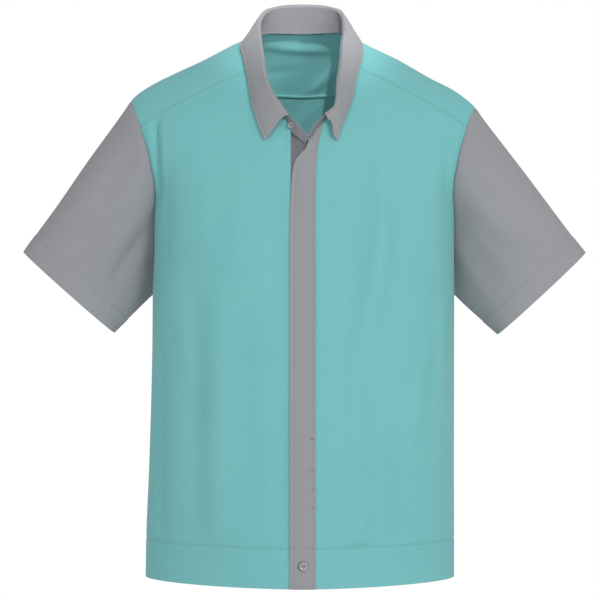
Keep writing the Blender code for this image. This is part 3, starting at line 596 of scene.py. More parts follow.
class Grid:
    """Points of a piece's outer face; rows run up, and (next in row) x (next row) points out."""

    def __init__(self, rows, closed=False):
        self.points = np.array([[tuple(p) for p in line] for line in rows])
        self.closed = closed

    def normals(self):
        p = self.points
        along = np.gradient(p, axis=1)
        if self.closed:
            along = np.roll(p, -1, axis=1) - np.roll(p, 1, axis=1)
        n = np.cross(along, np.gradient(p, axis=0))
        return n / np.maximum(np.linalg.norm(n, axis=2, keepdims=True), 1e-12)

    def lengths(self):
        """Distance along each row, and up each column, of every point."""
        p = self.points
        along = np.zeros(p.shape[:2])
        along[:, 1:] = np.cumsum(np.linalg.norm(np.diff(p, axis=1), axis=2), axis=1)
        up = np.zeros(p.shape[:2])
        up[1:, :] = np.cumsum(np.linalg.norm(np.diff(p, axis=0), axis=2), axis=0)
        return along, up

    def away(self, border):
        """Distance of every point from a border."""
        along, up = self.lengths()
        return {"first": along, "last": along[:, -1:] - along,
                "low": up, "high": up[-1:, :] - up}[border]

    def move(self, amount):
        self.points = self.points + self.normals() * amount[:, :, None]

    def sew(self, borders, pucker=1.0):
        """Draws the cloth in at its sewn borders, with small puckers along them."""
        along, up = self.lengths()
        total = np.zeros(along.shape)
        for border in borders:
            away = self.away(border)
            run = up if border in ("first", "last") else along
            total -= DITCH * bell(away / DITCH_WIDTH)
            wave = np.sin(run * 2.0 * math.pi / PUCKER_LENGTH + 2.0 * np.sin(run * 31.0))
            wave *= 0.6 + 0.4 * np.sin(run * 47.0 + 1.0)
            near = bell(away / PUCKER_WIDTH) * (1.0 - bell(away / 0.0015))
            total += PUCKER * pucker * wave * near
        self.move(total)

    def groove(self, border, distance, depth, width):
        """Presses in a line of stitches a set distance from a border."""
        self.move(-depth * bell((self.away(border) - distance) / width))

    def rumple(self, size, scale, seed, keep=(), held=0.02):
        """Slow unevenness of soft cloth, none of it at the borders that are kept."""
        total = np.zeros(self.points.shape[:2])
        for place in np.ndindex(total.shape):
            at = Vector(self.points[place]) * scale
            at.z *= 0.45
            total[place] = noise.noise(at + Vector((seed, 0.0, 0.0)))
        for border in keep:
            total *= 1.0 - bell(self.away(border) / held)
        self.move(total * size)

    def line(self, border, distance):
        """Points and normals a set distance in from a border."""
        away = self.away(border)
        p, n = self.points, self.normals()
        if border in ("low", "high"):
            away, p, n = away.T, p.transpose(1, 0, 2), n.transpose(1, 0, 2)
        if border in ("last", "high"):
            away, p, n = away[:, ::-1], p[:, ::-1], n[:, ::-1]
        result = []
        for d, points, ways in zip(away, p, n):
            j = int(clamp(np.searchsorted(d, distance), 1, len(d) - 1))
            t = (distance - d[j - 1]) / max(d[j] - d[j - 1], 1e-9)
            result.append((Vector(mix(points[j - 1], points[j], t)), Vector(mix(ways[j - 1], ways[j], t))))
        return result


def add(name, data):
    """Adds a mesh, a lamp or a camera to the scene."""
    thing = bpy.data.objects.new(name, data)
    bpy.context.scene.collection.objects.link(thing)
    return thing


def piece(name, points, faces, finish, uvs=None, nodes=()):
    """Adds a mesh that stands for solids of the frame, or lies on them."""
    mesh = bpy.data.meshes.new(name)
    mesh.from_pydata([tuple(p) for p in points], [], faces)
    mesh.validate()
    if uvs is not None:
        layer = mesh.uv_layers.new(name="UVMap")
        corners = np.zeros(len(mesh.loops), dtype=np.int32)
        mesh.loops.foreach_get("vertex_index", corners)
        layer.data.foreach_set("uv", np.array(uvs, dtype=np.float32)[corners].ravel())
    mesh.shade_smooth()
    mesh.set_sharp_from_angle(angle=math.radians(62.0))
    mesh.materials.append(finish)
    thing = add(name, mesh)
    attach(thing, "root")
    if nodes:
        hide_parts(*nodes)
    return thing


def shell(name, grid, finish, nodes, thickness=FABRIC, lift=0.0):
    """Thin closed cloth with a rounded rim round a grid."""
    n = grid.normals()
    outer = grid.points + n * lift
    inner = grid.points + n * (lift - thickness)
    rows, columns = outer.shape[:2]
    count = rows * columns
    along, up = grid.lengths()
    uv = np.stack([along - along[:, -1:] / 2.0, up], axis=2).reshape(-1, 2)
    points = list(outer.reshape(-1, 3)) + list(inner.reshape(-1, 3))
    uvs = list(uv) + list(uv)
    faces = []
    spans = columns if grid.closed else columns - 1

    def at(i, j, layer):
        return layer * count + i * columns + j % columns

    for i in range(rows - 1):
        for j in range(spans):
            faces.append((at(i, j, 0), at(i, j + 1, 0), at(i + 1, j + 1, 0), at(i + 1, j, 0)))
            faces.append((at(i, j, 1), at(i + 1, j, 1), at(i + 1, j + 1, 1), at(i, j + 1, 1)))
    low = [(0, j) for j in range(columns)]
    high = [(rows - 1, j) for j in reversed(range(columns))]
    if grid.closed:
        loops = [low, high]
    else:
        last = [(i, columns - 1) for i in range(1, rows - 1)]
        first = [(i, 0) for i in reversed(range(1, rows - 1))]
        loops = [low + last + high + first]
    for loop in loops:
        start = len(points)
        for i, j in loop:
            back_i = clamp(i, 1, rows - 2)
            back_j = j if grid.closed else clamp(j, 1, columns - 2)
            out = outer[i, j] - outer[back_i, back_j]
            out /= max(np.linalg.norm(out), 1e-9)
            points.append((outer[i, j] + inner[i, j]) / 2.0 + out * thickness * 0.4)
            uvs.append(uv[i * columns + j])
        size = len(loop)
        for m in range(size):
            a, b = loop[m], loop[(m + 1) % size]
            ra, rb = start + m, start + (m + 1) % size
            faces.append((at(*b, 0), at(*a, 0), ra, rb))
            faces.append((rb, ra, at(*a, 1), at(*b, 1)))
    thing = piece(name, points, faces, finish, uvs, nodes)


def stitch_run(points, pitch=STITCH_PITCH, length=STITCH, skip=0.0, across=False, closed=False):
    """Places of the stitches along a line of points and normals: (centre, along, out)."""
    if closed:
        points = points + points[:1]
    total = 0.0
    places = []
    at = pitch / 2.0 + skip
    ends = sum((b[0] - a[0]).length for a, b in zip(points, points[1:])) - skip
    for (a, na), (b, nb) in zip(points, points[1:]):
        size = (b - a).length
        while size > 0.0 and at <= total + size:
            t = (at - total) / size
            if at < ends:
                out = na.lerp(nb, t).normalized()
                along = (b - a).normalized()
                if across:
                    along = along.cross(out).normalized()
                places.append((a.lerp(b, t), along, out, length))
            at += pitch
        total += size
    return places


# One stitch: points along it, across it and up, and its faces
GRAIN = ((-1.0, 0, 0), (-0.55, 1, 0), (0.55, 1, 0), (1.0, 0, 0), (0.55, -1, 0), (-0.55, -1, 0),
         (-0.45, 0, 1), (0.45, 0, 1))
GRAIN_FACES = ((0, 6, 1), (1, 6, 7, 2), (2, 7, 3), (3, 7, 4), (4, 7, 6, 5), (5, 6, 0),
               (0, 1, 2, 3, 4, 5))


def stitches(name, places, finish):
    """One mesh of many small stitches, each a slim eight-sided grain half sunk in the cloth."""
    points = []
    faces = []
    for centre, along, out, length in places:
        aside = out.cross(along).normalized() * STITCH_WIDTH / 2.0
        tip = along * length / 2.0
        top = out * STITCH_HEIGHT
        start = len(points)
        points += [centre + tip * t + aside * s + top * h for t, s, h in GRAIN]
        faces += [tuple(start + i for i in face) for face in GRAIN_FACES]
    piece(name, points, faces, finish)


# ---------------------------------------------------------------- materials
def feed(tree, made, inputs):
    """Sets a node's inputs: each to a value, or to another node's output."""
    for key, value in inputs.items():
        if isinstance(value, bpy.types.NodeSocket):
            tree.links.new(value, made.inputs[key])
        else:
            made.inputs[key].default_value = value


def node(tree, kind, inputs=None, output=0):
    """Adds a shader node and gives one of its outputs."""
    made = tree.nodes.new("ShaderNode" + kind)
    feed(tree, made, inputs or {})
    return made.outputs[output]


def combined(tree, operation, *values):
    made = tree.nodes.new("ShaderNodeMath")
    made.operation = operation
    feed(tree, made, dict(enumerate(values)))
    return made.outputs[0]


def weighted(tree, *terms):
    """Sum of textures, each times its weight."""
    parts = [combined(tree, "MULTIPLY", value, weight) for value, weight in terms]
    total = parts[0]
    for part in parts[1:]:
        total = combined(tree, "ADD", total, part)
    return total


def new_finish(name, inputs):
    finish = bpy.data.materials.new(name)
    finish.use_nodes = True
    tree = finish.node_tree
    shader = tree.nodes["Principled BSDF"]
    feed(tree, shader, inputs)
    return finish, tree, shader


def tint(tree, shader, value, dark, colour, low=0.0, high=1.0):
    """Colours the shader by a texture, from dark to full."""
    ramp = tree.nodes.new("ShaderNodeValToRGB")
    feed(tree, ramp, {0: value})
    for element, position, shown in zip(ramp.color_ramp.elements, (low, high), (dark, colour)):
        element.position = position
        element.color = (*shown, 1.0)
    feed(tree, shader, {"Base Color": ramp.outputs[0]})


def emboss(tree, shader, height, strength, distance):
    relief = {"Strength": strength, "Distance": distance, "Height": height}
    feed(tree, shader, {"Normal": node(tree, "Bump", relief)})


def cloth_material(name, colour, dark):
    """Plain weave: yarns over and under each other, uneven yarns, and a slow change of tone."""
    finish, tree, shader = new_finish(name, {
        "Roughness": 0.82, "Sheen Weight": 0.18, "Sheen Roughness": 0.45, "Specular IOR Level": 0.25})
    place = node(tree, "UVMap")
    split = tree.nodes.new("ShaderNodeSeparateXYZ")
    feed(tree, split, {0: place})
    waves = [combined(tree, "MULTIPLY", run, math.pi / YARN) for run in split.outputs[:2]]
    weave = combined(tree, "MULTIPLY", *[combined(tree, "SINE", wave) for wave in waves])
    # slubs: noise drawn out along each yarn
    drawn = [node(tree, "Mapping", {"Vector": place, "Scale": stretch})
             for stretch in ((1400.0, 70.0, 1.0), (70.0, 1400.0, 1.0))]
    slubs = combined(tree, "ADD", *[node(tree, "TexNoise", {"Vector": at, "Scale": 1.0, "Detail": 1.0})
                                    for at in drawn])
    slow = node(tree, "TexNoise", {
        "Vector": node(tree, "TexCoord", output="Object"), "Scale": 9.0, "Detail": 3.0})
    tone = weighted(tree, (slubs, 0.34), (slow, 0.26), (weave, 0.07))
    tint(tree, shader, tone, dark, colour, 0.20, 0.80)
    emboss(tree, shader, weighted(tree, (weave, 0.5), (slubs, 0.6)), 0.22, 0.00012)
    return finish


def thread_material(name, colour):
    """Sewing thread, with the twist of its plies."""
    finish, tree, shader = new_finish(name, {"Roughness": 0.55, "Sheen Weight": 0.15})
    plies = node(tree, "TexWave", {
        "Vector": node(tree, "TexCoord", output="Object"), "Scale": 1400.0, "Distortion": 1.5}, "Fac")
    tint(tree, shader, plies, [part * 0.82 for part in colour], colour)
    return finish


def button_material(name, colour):
    """Moulded button: clouded and satin."""
    finish, tree, shader = new_finish(name, {"Roughness": 0.32, "Coat Weight": 0.25})
    cloud = node(tree, "TexNoise", {
        "Vector": node(tree, "TexCoord", output="Object"), "Scale": 260.0, "Detail": 4.0})
    tint(tree, shader, cloud, [part * 0.8 for part in colour], colour, 0.3, 0.7)
    emboss(tree, shader, cloud, 0.08, 0.0001)
    return finish


# ---------------------------------------------------------------- creases that only the looks have
CREASES = {
    # the wearer's right front: by the armhole, down the side, the fly and the middle
    "front_right": table(
        FOLD,
        (-0.1995, -0.098, -0.1950, -0.240, 0.0042, 0.0075),
        (-0.1820, -0.169, -0.1850, -0.338, 0.0080, 0.0018),
        (-0.1664, -0.346, -0.1480, -0.497, 0.0110, -0.0022),
        (-0.1925, -0.405, -0.1925, -0.726, 0.0060, 0.0034),
        (-0.1140, -0.327, -0.1166, -0.739, 0.0150, -0.0036),
        (-0.1454, -0.366, -0.1402, -0.707, 0.0120, 0.0022),
        (-0.0406, -0.169, -0.0288, -0.405, 0.0110, 0.0026),
        (-0.0314, -0.353, -0.0249, -0.739, 0.0100, 0.0028),
        (-0.1061, -0.111, -0.1166, -0.366, 0.0170, 0.0020),
        (-0.0275, -0.125, -0.0183, -0.180, 0.0060, 0.0030),
        (-0.0197, -0.189, -0.0197, -0.746, 0.0036, 0.0014),
    ),
    # the left front: a long fold that slants towards the fly and falls beside it
    "front_left": table(
        FOLD,
        (0.1061, -0.156, 0.0983, -0.392, 0.0150, -0.0080),
        (0.1048, -0.261, 0.0616, -0.510, 0.0150, -0.0078),
        (0.0681, -0.444, 0.0721, -0.739, 0.0150, -0.0080),
        (0.1886, -0.366, 0.1834, -0.510, 0.0090, -0.0040),
        (0.1690, -0.399, 0.1454, -0.562, 0.0100, -0.0040),
        (0.1952, -0.130, 0.1926, -0.287, 0.0070, 0.0022),
        (0.0354, -0.196, 0.0354, -0.366, 0.0090, 0.0018),
        (0.1271, -0.497, 0.1323, -0.733, 0.0150, 0.0036),
        (0.0249, -0.405, 0.0262, -0.707, 0.0070, 0.0016),
        (0.0367, -0.133, 0.0223, -0.177, 0.0060, 0.0026),
    ),
    # the fly
    "placket": table(
        FOLD,
        (-0.0118, -0.193, 0.0249, -0.154, 0.0045, 0.0016),
        (-0.0092, -0.549, 0.0118, -0.548, 0.0016, 0.0008),
    ),
    # the yoke behind the neck, seen through the collar
    "yoke": table(
        FOLD,
        (-0.0620, -0.0130, 0.0500, -0.0180, 0.0055, 0.0028),
        (0.0520, -0.0370, 0.0040, -0.0800, 0.0060, 0.0036),
        (-0.0560, -0.0500, -0.0100, -0.0420, 0.0050, -0.0014),
    ),
    # the back
    "back": table(
        FOLD,
        (0.0260, -0.0880, -0.0200, -0.1300, 0.0060, 0.0022),
        (-0.1850, -0.160, -0.1700, -0.300, 0.0090, 0.0026),
        (0.1850, -0.160, 0.1730, -0.310, 0.0090, 0.0024),
        (-0.1780, -0.260, -0.1300, -0.390, 0.0130, 0.0024),
        (0.1780, -0.250, 0.1250, -0.370, 0.0130, 0.0026),
        (-0.0600, -0.100, -0.0720, -0.330, 0.0150, 0.0022),
        (0.0430, -0.110, 0.0380, -0.290, 0.0140, 0.0019),
        (0.0500, -0.430, 0.0420, -0.700, 0.0150, 0.0036),
        (-0.1500, -0.430, -0.1480, -0.700, 0.0130, -0.0018),
        (0.1350, -0.480, 0.1400, -0.700, 0.0130, -0.0018),
    ),
    # soft folds of the under placket inside the V of the neck
    "under_placket": table(
        FOLD,
        (-0.0230, -0.1410, 0.0160, -0.1555, 0.0032, 0.0030),
        (-0.0220, -0.1530, 0.0130, -0.1690, 0.0034, 0.0030),
        (-0.0200, -0.1650, 0.0060, -0.1790, 0.0034, 0.0018),
    ),
}
# Creases of the sleeves, in the terms of the sleeves' folds
SLEEVE_CREASES = {
    "right": table(
        SLEEVE_FOLD,
        (44.0, 10.0, 9.0, 0.01, 0.50, 0.0036),
        (88.0, -22.0, 9.0, 0.16, 0.88, 0.0030),
        (116.0, 4.0, 8.0, 0.00, 0.75, 0.0024),
        (150.0, -8.0, 8.0, 0.00, 0.55, 0.0012),
        (-60.0, 20.0, 10.0, 0.04, 0.60, 0.0022),
        (-125.0, 18.0, 9.0, 0.00, 0.70, 0.0028),
    ),
    "left": table(
        SLEEVE_FOLD,
        (56.0, 12.0, 10.0, 0.05, 0.50, 0.0022),
        (100.0, -12.0, 9.0, 0.05, 0.70, 0.0024),
        (138.0, -10.0, 8.0, 0.00, 0.62, 0.0012),
        (-52.0, 14.0, 10.0, 0.05, 0.55, 0.0020),
        (-112.0, 20.0, 9.0, 0.00, 0.72, 0.0026),
    ),
}


def crease(grid, name, held=0.006):
    """Presses the creases of one piece into its grid."""
    total = np.zeros(grid.points.shape[:2])
    for place in np.ndindex(total.shape):
        x, y, z = grid.points[place]
        total[place] = sum(trough(row, x, z) for row in CREASES[name])
    for border in BORDERS:
        total *= 1.0 - bell(grid.away(border) / held)
    grid.move(-total)


# ---------------------------------------------------------------- sizes of the looks alone
# Slow unevenness of each piece: its depth, how close its waves lie, and its seed
RUMPLES = {
    "front_right": (0.0011, 11.0, 3.0),
    "front_left": (0.0011, 11.0, 8.0),
    "back": (0.0016, 10.0, 14.0),
    "yoke": (0.0007, 16.0, 21.0),
    "placket": (0.00045, 22.0, 41.0),
    "sleeve_right": (0.0014, 15.0, 31.0),
    "sleeve_left": (0.0014, 15.0, 37.0),
    "collar_stand": (0.0007, 36.0, 51.0),
}
# Length and width of the pieces as built, for the spacing of their grids
FRONT_WIDE = 0.205
BACK_WIDE = 0.56
YOKE_WIDE, YOKE_LONG = 0.50, 0.12
BAND_LONG, FRONT_BAND = 0.053, 0.225
FLY_LONG, FLY_WIDE = 0.56, 0.034
UNDER_LONG, UNDER_WIDE = 0.54, 0.026
SLEEVE_LONG = 0.225
NECK_HALF, STAND_TALL = 0.20, 0.034
CLOSE_STEP = 0.0045       # closer spacings: up the bands and sleeves, round the neck, across strips
NECK_STEP = 0.0034
STRIP_STEP = 0.0015
FLY_CLOTH = 0.0012        # shown thickness of the doubled pieces
BAND_CLOTH = 0.0011
STAND_CLOTH = 0.0016
FALL_CLOTH = 0.0015
FLY_OUT = CLOTH + LAP_GAP  # how far the fly stands off the fronts
UNDER_INSET = 0.0006      # how far the under placket keeps in from its edges
UNDER_FINE = 0.050        # its topmost part, with closer rows, and how many
FINE_ROWS = 34
UNDER_TUCK = 0.0095       # how far the under placket runs up behind the stand
TUCK_DEPTH = 0.0024       # how far in it goes there, from how far below, and over what run
TUCK_START = 0.003
TUCK_RUN = 0.004
COLLAR_PASSES = 16        # how far the collar's line is rounded off behind the neck
ROUNDED_TO = 7.5          # the station where that rounding ends, and over how many it fades
ROUNDED_OVER = 3.0
SHOULDER_LIFT = 0.0026    # how far the fall's edge stands off the shoulder, at which station
SHOULDER_STATION = 5.8
SHOULDER_SPREAD = 1.2
PROBE_ROLL = 2.0          # small steps that give the surface's direction
PROBE_X = 0.004
FOLD_IN = 0.0021          # how far in the fall's inner layer lies, and how far down it comes
FOLD_DOWN = 0.0012
HEM_STEP = 0.0006         # step down from the sleeve's turned hem, and its softness
HEM_STEP_WIDTH = 0.0005
HEM_GROOVE = (0.0008, 0.0012)     # grooves that rows of stitches press in: depth and width
FLY_GROOVE = (0.00045, 0.0014)
FALL_GROOVE = (0.00065, 0.0013)
ARMHOLE_FINE = 60         # points on the armhole ring: front or back, and shoulder
SHOULDER_FINE = 24
FIT_REACH = 0.006         # how far down the sleeve its fit to the armhole reaches
FLY_BORDER = {"right": "last", "left": "first"}
ARM_BORDER = {"right": "first", "left": "last"}
YOKE_ALLOWANCE = 0.0016   # half width of the back yoke seam's allowance
ALLOWANCE_DROP = 0.00035  # how far the allowances lie under the cloth, and their thickness
ALLOWANCE_CLOTH = 0.0005
HOLE_ASIDE = 0.0012       # how far a buttonhole's stitches lie to each side of its slit
ARC_RADII = (0.0058, 0.0064)
BAR_HEIGHTS = (-0.548, -0.589, -0.614, -0.638)
ROOM_LIGHT = 0.60
# Soft boxes: degrees round from the camera to the right and up, distance, size and power
LAMPS = (
    ("key", 32.0, 15.0, 3.2, 1.2, 36.0),
    ("fill", -20.0, 4.0, 3.2, 2.0, 20.0),
)
# A narrow soft beam into the open collar: degrees round and up, distance, width in degrees, power
NECK_BEAM = (12.0, 40.0, 3.0, 2.3, 2100.0)
BEAM_SOFTNESS = 0.12
NECK_AIM = (-0.012, 0.050, -0.054)
# Shape of the leaves' front edges: share of the way from fold to tip, and how far drawn back
LEAF_EDGES = table(
    "share right left",
    (0.00, 0.0000, 0.0000),
    (0.07, 0.0022, -0.0002),
    (0.15, 0.0029, 0.0002),
    (0.28, 0.0031, 0.0028),
    (0.47, 0.0021, 0.0013),
    (0.68, 0.0005, -0.0038),
    (0.85, -0.0004, -0.0022),
    (1.00, 0.0000, 0.0000),
)
LEAF_REACH = 0.022        # how far in from its front edge the leaf follows that shape
# The fall's rows: their number and how they close up under the fold, and the last ones, back from
# its edge
FALL_ROWS = 15
FALL_ROW_POWER = 1.25
FALL_ROWS_END = 0.0084
FALL_EDGE_ROWS = (0.0070, 0.0056, 0.0042, 0.0029, 0.0018, 0.0009, 0.0)
CAMERA_DISTANCE = 2.9
CAMERA_SPAN = 0.822
CAMERA_SHIFT = -3.0 / 600.0
VIEW_HEIGHT = -0.366
FLOOR_RADIUS = 1.6
FLOOR_PLACE = (0.0, 0.2, -1.30)


# ---------------------------------------------------------------- body
def facing_out(side, lines):
    """Grid of rows that run out from the fly, turned so that its normals point out."""
    return Grid([line[::-1] if side == "right" else line for line in lines])


def trunk_rows(height):
    return [share * (BODY_ROWS + ARM_ROWS) for share in spaced(height, STEP)]


def front_grid(side):
    shares = spaced(FRONT_WIDE, STEP)
    rows = trunk_rows(YOKE_END_FRONT - BAND_TOP)
    grid = facing_out(side, [front_row(side, step, shares) for step in rows])
    crease(grid, "front_" + side)
    grid.rumple(*RUMPLES["front_" + side], keep=BORDERS)
    grid.sew([border for border in BORDERS if border != FLY_BORDER[side]])
    return grid


def back_grid():
    grid = Grid([[back_point(step, 1.0 - 2.0 * t) for t in spaced(BACK_WIDE, STEP)]
                 for step in trunk_rows(YOKE_END_BACK - BAND_TOP)])
    crease(grid, "back")
    grid.rumple(*RUMPLES["back"], keep=BORDERS)
    grid.sew(BORDERS, pucker=1.3)
    return grid


def yoke_grid():
    grid = Grid([[yoke_point(1.0 - 2.0 * t, r) for t in spaced(YOKE_WIDE, STEP * 0.8)]
                 for r in spaced(YOKE_LONG, STEP * 0.8)])
    crease(grid, "yoke")
    grid.rumple(*RUMPLES["yoke"], keep=BORDERS, held=0.012)
    grid.sew(BORDERS)
    return grid


def band_point(angle, r, side):
    return girth_point(angle, mix(HEM, BAND_TOP, r), side)


def band_grid(side):
    start = girth_angle(FLY_RIGHT(HEM) - UNDERLAP, HEM, side)
    grid = facing_out(side, [[band_point(mix(start, SEAM_ANGLE, t), r, side)
                              for t in spaced(FRONT_BAND, STEP)] for r in spaced(BAND_LONG, CLOSE_STEP)])
    grid.sew([border for border in BORDERS if border != "low"], pucker=1.6)
    return grid


def back_band_grid():
    turns = [1.0 - 2.0 * t for t in spaced(BACK_WIDE, STEP)]
    grid = Grid([[band_point(mix(90.0, SEAM_ANGLE, abs(across)), r, side_name(across))
                  for across in turns] for r in spaced(BAND_LONG, CLOSE_STEP)])
    grid.sew(["first", "last", "high"], pucker=1.6)
    return grid


def lap_grid(left_of, right_of, low, high_left, high_right, length, width, fine_top=0.0):
    """Grid of an upright strip; its topmost part may have closer rows."""
    turn = 1.0 - fine_top / length
    heights = [h for h in spaced(length, CLOSE_STEP) if h <= turn]
    if fine_top:
        heights += [turn + (1.0 - turn) * (i + 1) / FINE_ROWS for i in range(FINE_ROWS)]
    return Grid([[lap_point(left_of, right_of, low, high_left, high_right, h, t)
                  for t in spaced(width, STRIP_STEP)] for h in heights])


def under_grid():
    """The under placket.  Its top runs on behind the lower edge of the stand."""
    grid = lap_grid(lambda z: LAP[0].left + UNDER_EDGE + UNDER_INSET,
                    lambda z: FLY_RIGHT(HEM) - UNDERLAP - UNDER_INSET, BAND_TOP,
                    UNDER_TOP_LEFT + UNDER_TUCK / 2, UNDER_TOP_RIGHT + UNDER_TUCK,
                    UNDER_LONG, UNDER_WIDE, UNDER_FINE)
    crease(grid, "under_placket", held=0.0015)
    tuck = (UNDER_TUCK + TUCK_START - grid.away("high")) / TUCK_RUN
    grid.move(-TUCK_DEPTH * np.clip(tuck, 0.0, 1.0))
    return grid


def fly_grid():
    grid = lap_grid(FLY_LEFT, FLY_RIGHT, BAND_TOP, FLY_TOP_LEFT, FLY_TOP_RIGHT, FLY_LONG, FLY_WIDE)
    crease(grid, "placket", held=0.002)
    grid.rumple(*RUMPLES["placket"], keep=("low", "high"), held=0.012)
    grid.sew(["high", "low"])
    grid.groove("first", FLY_STITCH_LEFT, *FLY_GROOVE)
    grid.groove("last", FLY_STITCH_RIGHT, *FLY_GROOVE)
    return grid


def tab_grid():
    grid = lap_grid(FLY_LEFT, FLY_RIGHT, HEM, BAND_TOP, BAND_TOP, BAND_LONG, FLY_WIDE)
    grid.sew(["high"])
    return grid


# ---------------------------------------------------------------- sleeves
def ring_lengths(ring):
    return [(after - point).length for point, after in zip(ring, ring[1:] + ring[:1])]


def resampled(ring):
    """Points at even steps along a closed ring."""
    lengths = ring_lengths(ring)
    total = sum(lengths)
    count = int(total / STEP)
    result = []
    i = 0
    before = 0.0
    for k in range(count):
        at = total * k / count
        while before + lengths[i] < at:
            before += lengths[i]
            i += 1
        result.append(ring[i].lerp(ring[(i + 1) % len(ring)], (at - before) / lengths[i]))
    return result


def armhole_ring(side):
    """Fine ring round the armhole: underarm, front, shoulder tip, back."""
    across = float(SIDES[side])
    shares = [i / ARMHOLE_FINE for i in range(ARMHOLE_FINE)]
    ring = [front_row(side, BODY_ROWS + ARM_ROWS * t, [1.0])[0] for t in shares]
    ring += [yoke_point(across, 1.0 - i / SHOULDER_FINE) for i in range(SHOULDER_FINE)]
    return ring + [back_point(BODY_ROWS + ARM_ROWS * (1.0 - t), across) for t in shares]


def squared(share):
    return math.copysign(abs(share) ** (2.0 / CUFF_POWER), share)


def cuff_point(side, turn):
    shape = SLEEVES[side]
    top = Vector((SIDES[side] * shape.top_x, 0.0, shape.top_z))
    under = Vector((SIDES[side] * shape.under_x, 0.0, shape.under_z))
    point = (top + under) / 2.0 + (top - under) / 2.0 * squared(math.cos(turn))
    point.y = MID_Y - shape.forward - shape.depth / 2.0 * squared(math.sin(turn))
    return point


def sleeve_sag(side, turn, s):
    total = 0.0
    for row in SLEEVE_FOLDS[side] + SLEEVE_CREASES[side]:
        t = (s - row.start) / (row.end - row.start)
        aside = (math.degrees(turn) - row.turn - row.drift * t) / row.spread
        total += row.depth * taper(t) * math.exp(-aside ** 2)
    return total


def sleeve_grid(side):
    """Tube from the cuff up to the armhole."""
    ring = resampled(armhole_ring(side))
    tip = max(range(len(ring)), key=lambda i: ring[i].z)
    lengths = ring_lengths(ring)
    front_length = sum(lengths[:tip])
    back_length = sum(lengths[tip:])
    middle = sum(ring, Vector()) / len(ring)
    cuff_middle = (cuff_point(side, 0.0) + cuff_point(side, math.pi)) / 2.0
    turns = []
    run = 0.0
    for k, length in enumerate(lengths):
        behind = -(run - front_length) / back_length
        turns.append(math.pi * (1.0 - run / front_length if k <= tip else behind))
        run += length
    lines = []
    for s in reversed(spaced(SLEEVE_LONG, CLOSE_STEP)):
        line = []
        for start, turn in zip(ring, turns):
            point = start.lerp(cuff_point(side, turn), s)
            point.y -= CAP_FULLNESS * math.sin(turn) * math.sin(math.pi * s ** CAP_POWER)
            inward = (middle.lerp(cuff_middle, s) - point).normalized()
            line.append(point + inward * sleeve_sag(side, turn, s))
        lines.append(line)
    grid = Grid(lines, closed=True)
    centre = grid.points.mean(axis=1, keepdims=True)
    if ((grid.points - centre) * grid.normals()).sum() < 0.0:
        grid.points = grid.points[:, ::-1].copy()
    grid.rumple(*RUMPLES["sleeve_" + side], keep=("low", "high"), held=0.012)
    grid.sew(["high"], pucker=1.5)
    # the turned hem is three layers thick, with a step and a line of stitches at its upper edge
    above = grid.away("low") - SLEEVE_HEM
    step = HEM_STEP * (1.0 - 1.0 / (1.0 + np.exp(-above / HEM_STEP_WIDTH)))
    grid.move(step - HEM_GROOVE[0] * bell(above / HEM_GROOVE[1]))
    return grid


def fit_to(grid, lines):
    """Draws a tube's upper edge onto the nearest edges of the pieces it is sewn to."""
    starts = np.concatenate([line[:-1] for line in lines])
    runs = np.concatenate([line[1:] for line in lines]) - starts
    edge = grid.points[-1]
    shares = np.einsum("ijk,jk->ij", edge[:, None] - starts[None], runs) / (runs ** 2).sum(axis=1)
    gaps = starts[None] + np.clip(shares, 0.0, 1.0)[:, :, None] * runs[None] - edge[:, None]
    nearest = (gaps ** 2).sum(axis=2).argmin(axis=1)
    shift = gaps[np.arange(len(edge)), nearest]
    hold = bell(grid.away("high") / FIT_REACH)
    grid.points = grid.points + shift[None] * hold[:, :, None]


# ---------------------------------------------------------------- collar
def stand_pair(side, at):
    """Points of the stand at one station: on the neck seam, and on its upper fold."""
    read = {name: curve(at) for name, curve in STAND[side].items()}
    neck = roll_point(SIDES[side] * read["neck_x"], read["neck_roll"])
    return neck, Vector((SIDES[side] * read["fold_x"], MID_Y + read["fold_y"], read["fold_z"]))


def round_neck(left_end, right_end):
    """(side, station) from the left end round the back to the right end, finely."""
    left = spaced(NECK_HALF, NECK_STEP, fine_end=False)
    right = spaced(NECK_HALF, NECK_STEP, fine_start=False)
    return ([("left", left_end * (1.0 - t)) for t in left]
            + [("right", right_end * t) for t in right[1:]])


def neck_pairs(places):
    """Neck and fold points round the collar, rounded off along the back of the neck."""
    result = []
    for line in zip(*[stand_pair(side, at) for side, at in places]):
        even = list(line)
        for _ in range(COLLAR_PASSES):
            inner = [(a + b * 2.0 + c) / 4.0 for a, b, c in zip(even, even[1:], even[2:])]
            even = [even[0]] + inner + [even[-1]]
        result.append([old.lerp(new, ease((ROUNDED_TO - at) / ROUNDED_OVER))
                       for (side, at), old, new in zip(places, line, even)])
    return list(zip(*result))


def stand_grid():
    pairs = neck_pairs(round_neck(STATION_COUNT["left"] - 1, STATION_COUNT["right"] - 1))
    grid = Grid([[neck.lerp(fold, r) for neck, fold in pairs] for r in spaced(STAND_TALL, 0.0032)])
    grid.rumple(*RUMPLES["collar_stand"], keep=("low", "high"), held=0.006)
    grid.sew(["low"], pucker=1.2)
    return grid


def fall_edge(side, at):
    x = SIDES[side] * FALL[side]["edge_x"](at)
    roll = FALL[side]["edge_roll"](at)
    edge = roll_point(x, roll)
    behind = roll_point(x, roll + PROBE_ROLL) - edge
    beside = roll_point(x + PROBE_X, roll) - edge
    return edge + beside.cross(behind).normalized() * FALL_LIFT


